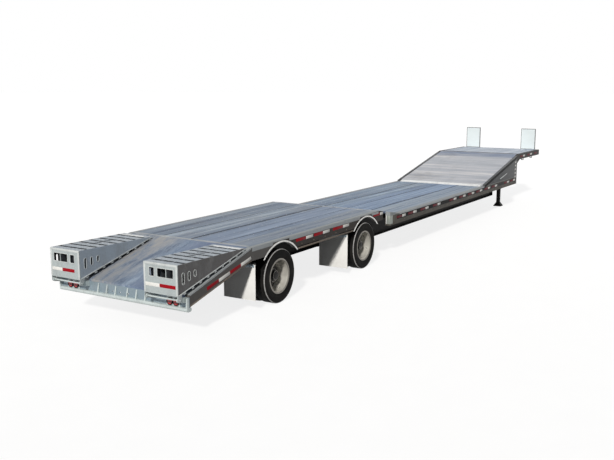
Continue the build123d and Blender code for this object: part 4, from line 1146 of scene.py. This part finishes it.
# %% Flap clamps
FLAP_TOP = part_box("mud_flaps")[1].z
FLAP_STATIONS = (1.650, 4.720)
FLAP_HALF = 0.004
FLAP_SPAN = (0.680, 1.270)
CLAMP_HEIGHTS = (FLAP_TOP - 0.050, FLAP_TOP - 0.004)
CLAMP_THICKNESS = 0.005
CLAMP_BOLT = (0.011, 0.009)  # radius, height
BOLT_SHARES = (0.08, 0.36, 0.64, 0.92)
clamps = bmesh.new()
clamp_bolts = bmesh.new()
for station in FLAP_STATIONS:
    flap_back = at(station) - FLAP_HALF
    face = flap_back - CLAMP_THICKNESS
    for sign in SIDES.values():
        side_plate(clamps, sign, (face, flap_back), FLAP_SPAN, CLAMP_HEIGHTS)
        for share in BOLT_SHARES:
            out = sign * (FLAP_SPAN[0] + share * (FLAP_SPAN[1] - FLAP_SPAN[0]))
            bolt(clamp_bolts, (face, out, sum(CLAMP_HEIGHTS) / 2), (-1, 0, 0), *CLAMP_BOLT)
finished("flap_clamps", clamps, galvanised, "galvanised")
finished("flap_clamp_bolts", clamp_bolts, bolt_metal, "bright_trim")
print("flap clamps: 4")

# %% [markdown]
# ## Fasteners
# Screws hold each plank to the cross-members, rivets run along the rails, and small screws hold the
# arch trims. There are hundreds, so each is a plain low head of six or eight sides, made in one
# loop from a table of decks and joined into one mesh per deck or rail.

# %% Deck screws, rail rivets and trim screws
SCREW_ROWS = [
    # name, first station, last station, rows, plank pitch, top
    ("rear", 1.640, 5.940, 11, REAR_PLANK, REAR_TOP),
    ("main", 7.120, 12.300, 13, MAIN_PLANK, MAIN_TOP),
    ("upper", 15.800, 17.600, 5, REAR_PLANK, UPPER_TOP),
]
PLANKS = 8
SCREW_INSET = 0.055
SCREW_HEAD = (0.008, 0.002)  # radius, height and, where they aren't six, sides
RIVET_HEAD = (0.011, 0.004, 8)
TRIM_SCREW_HEAD = (0.006, 0.003, 8)
screw_count = 0
for name, first, last, rows, pitch, top in SCREW_ROWS:
    screws = bmesh.new()
    for row in range(rows):
        x = at(first + (last - first) * row / (rows - 1))
        for plank in range(PLANKS):
            middle = (plank + 0.5 - PLANKS / 2) * pitch
            for offset in (-pitch / 2 + SCREW_INSET, pitch / 2 - SCREW_INSET):
                bolt(screws, (x, middle + offset, top), (0, 0, 1), *SCREW_HEAD)
                screw_count += 1
    finished(f"deck_screws_{name}", screws, bolt_metal, "bright_trim")

RIVET_RUNS = [
    # first station, last station, rivets, height
    (7.300, 12.300, 11, 0.765), (3.050, 4.650, 5, 0.915), (15.900, 17.500, 5, 1.440),
]
TRIM_CENTRE_HEIGHT = 0.3655
TRIM_SCREW_RADIUS = 0.6895
TRIM_SCREW_ANGLES = [48, 60, 72, 84, 96, 108, 120, 132]
AXLE_STATIONS = [2.395, 5.465]
trim_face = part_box("wheel_arch_trims")[1].y
for side, sign in SIDES.items():
    rivets = bmesh.new()
    for first, last, count, height in RIVET_RUNS:
        for index in range(count):
            spot = (at(first + (last - first) * index / (count - 1)), sign * HALF_WIDTH, height)
            bolt(rivets, spot, (0, sign, 0), *RIVET_HEAD)
    finished(f"rail_rivets_{side}", rivets, lip_paint, "grey_paint")
    screws = bmesh.new()
    for station in AXLE_STATIONS:
        for angle in TRIM_SCREW_ANGLES:
            around = math.radians(angle)
            spot = (at(station) + TRIM_SCREW_RADIUS * math.cos(around), sign * trim_face,
                    TRIM_CENTRE_HEIGHT + TRIM_SCREW_RADIUS * math.sin(around))
            bolt(screws, spot, (0, sign, 0), *TRIM_SCREW_HEAD)
    finished(f"trim_screws_{side}", screws, bolt_metal, "bright_trim")
print("fasteners:", screw_count, "deck screws, rail rivets and trim screws")
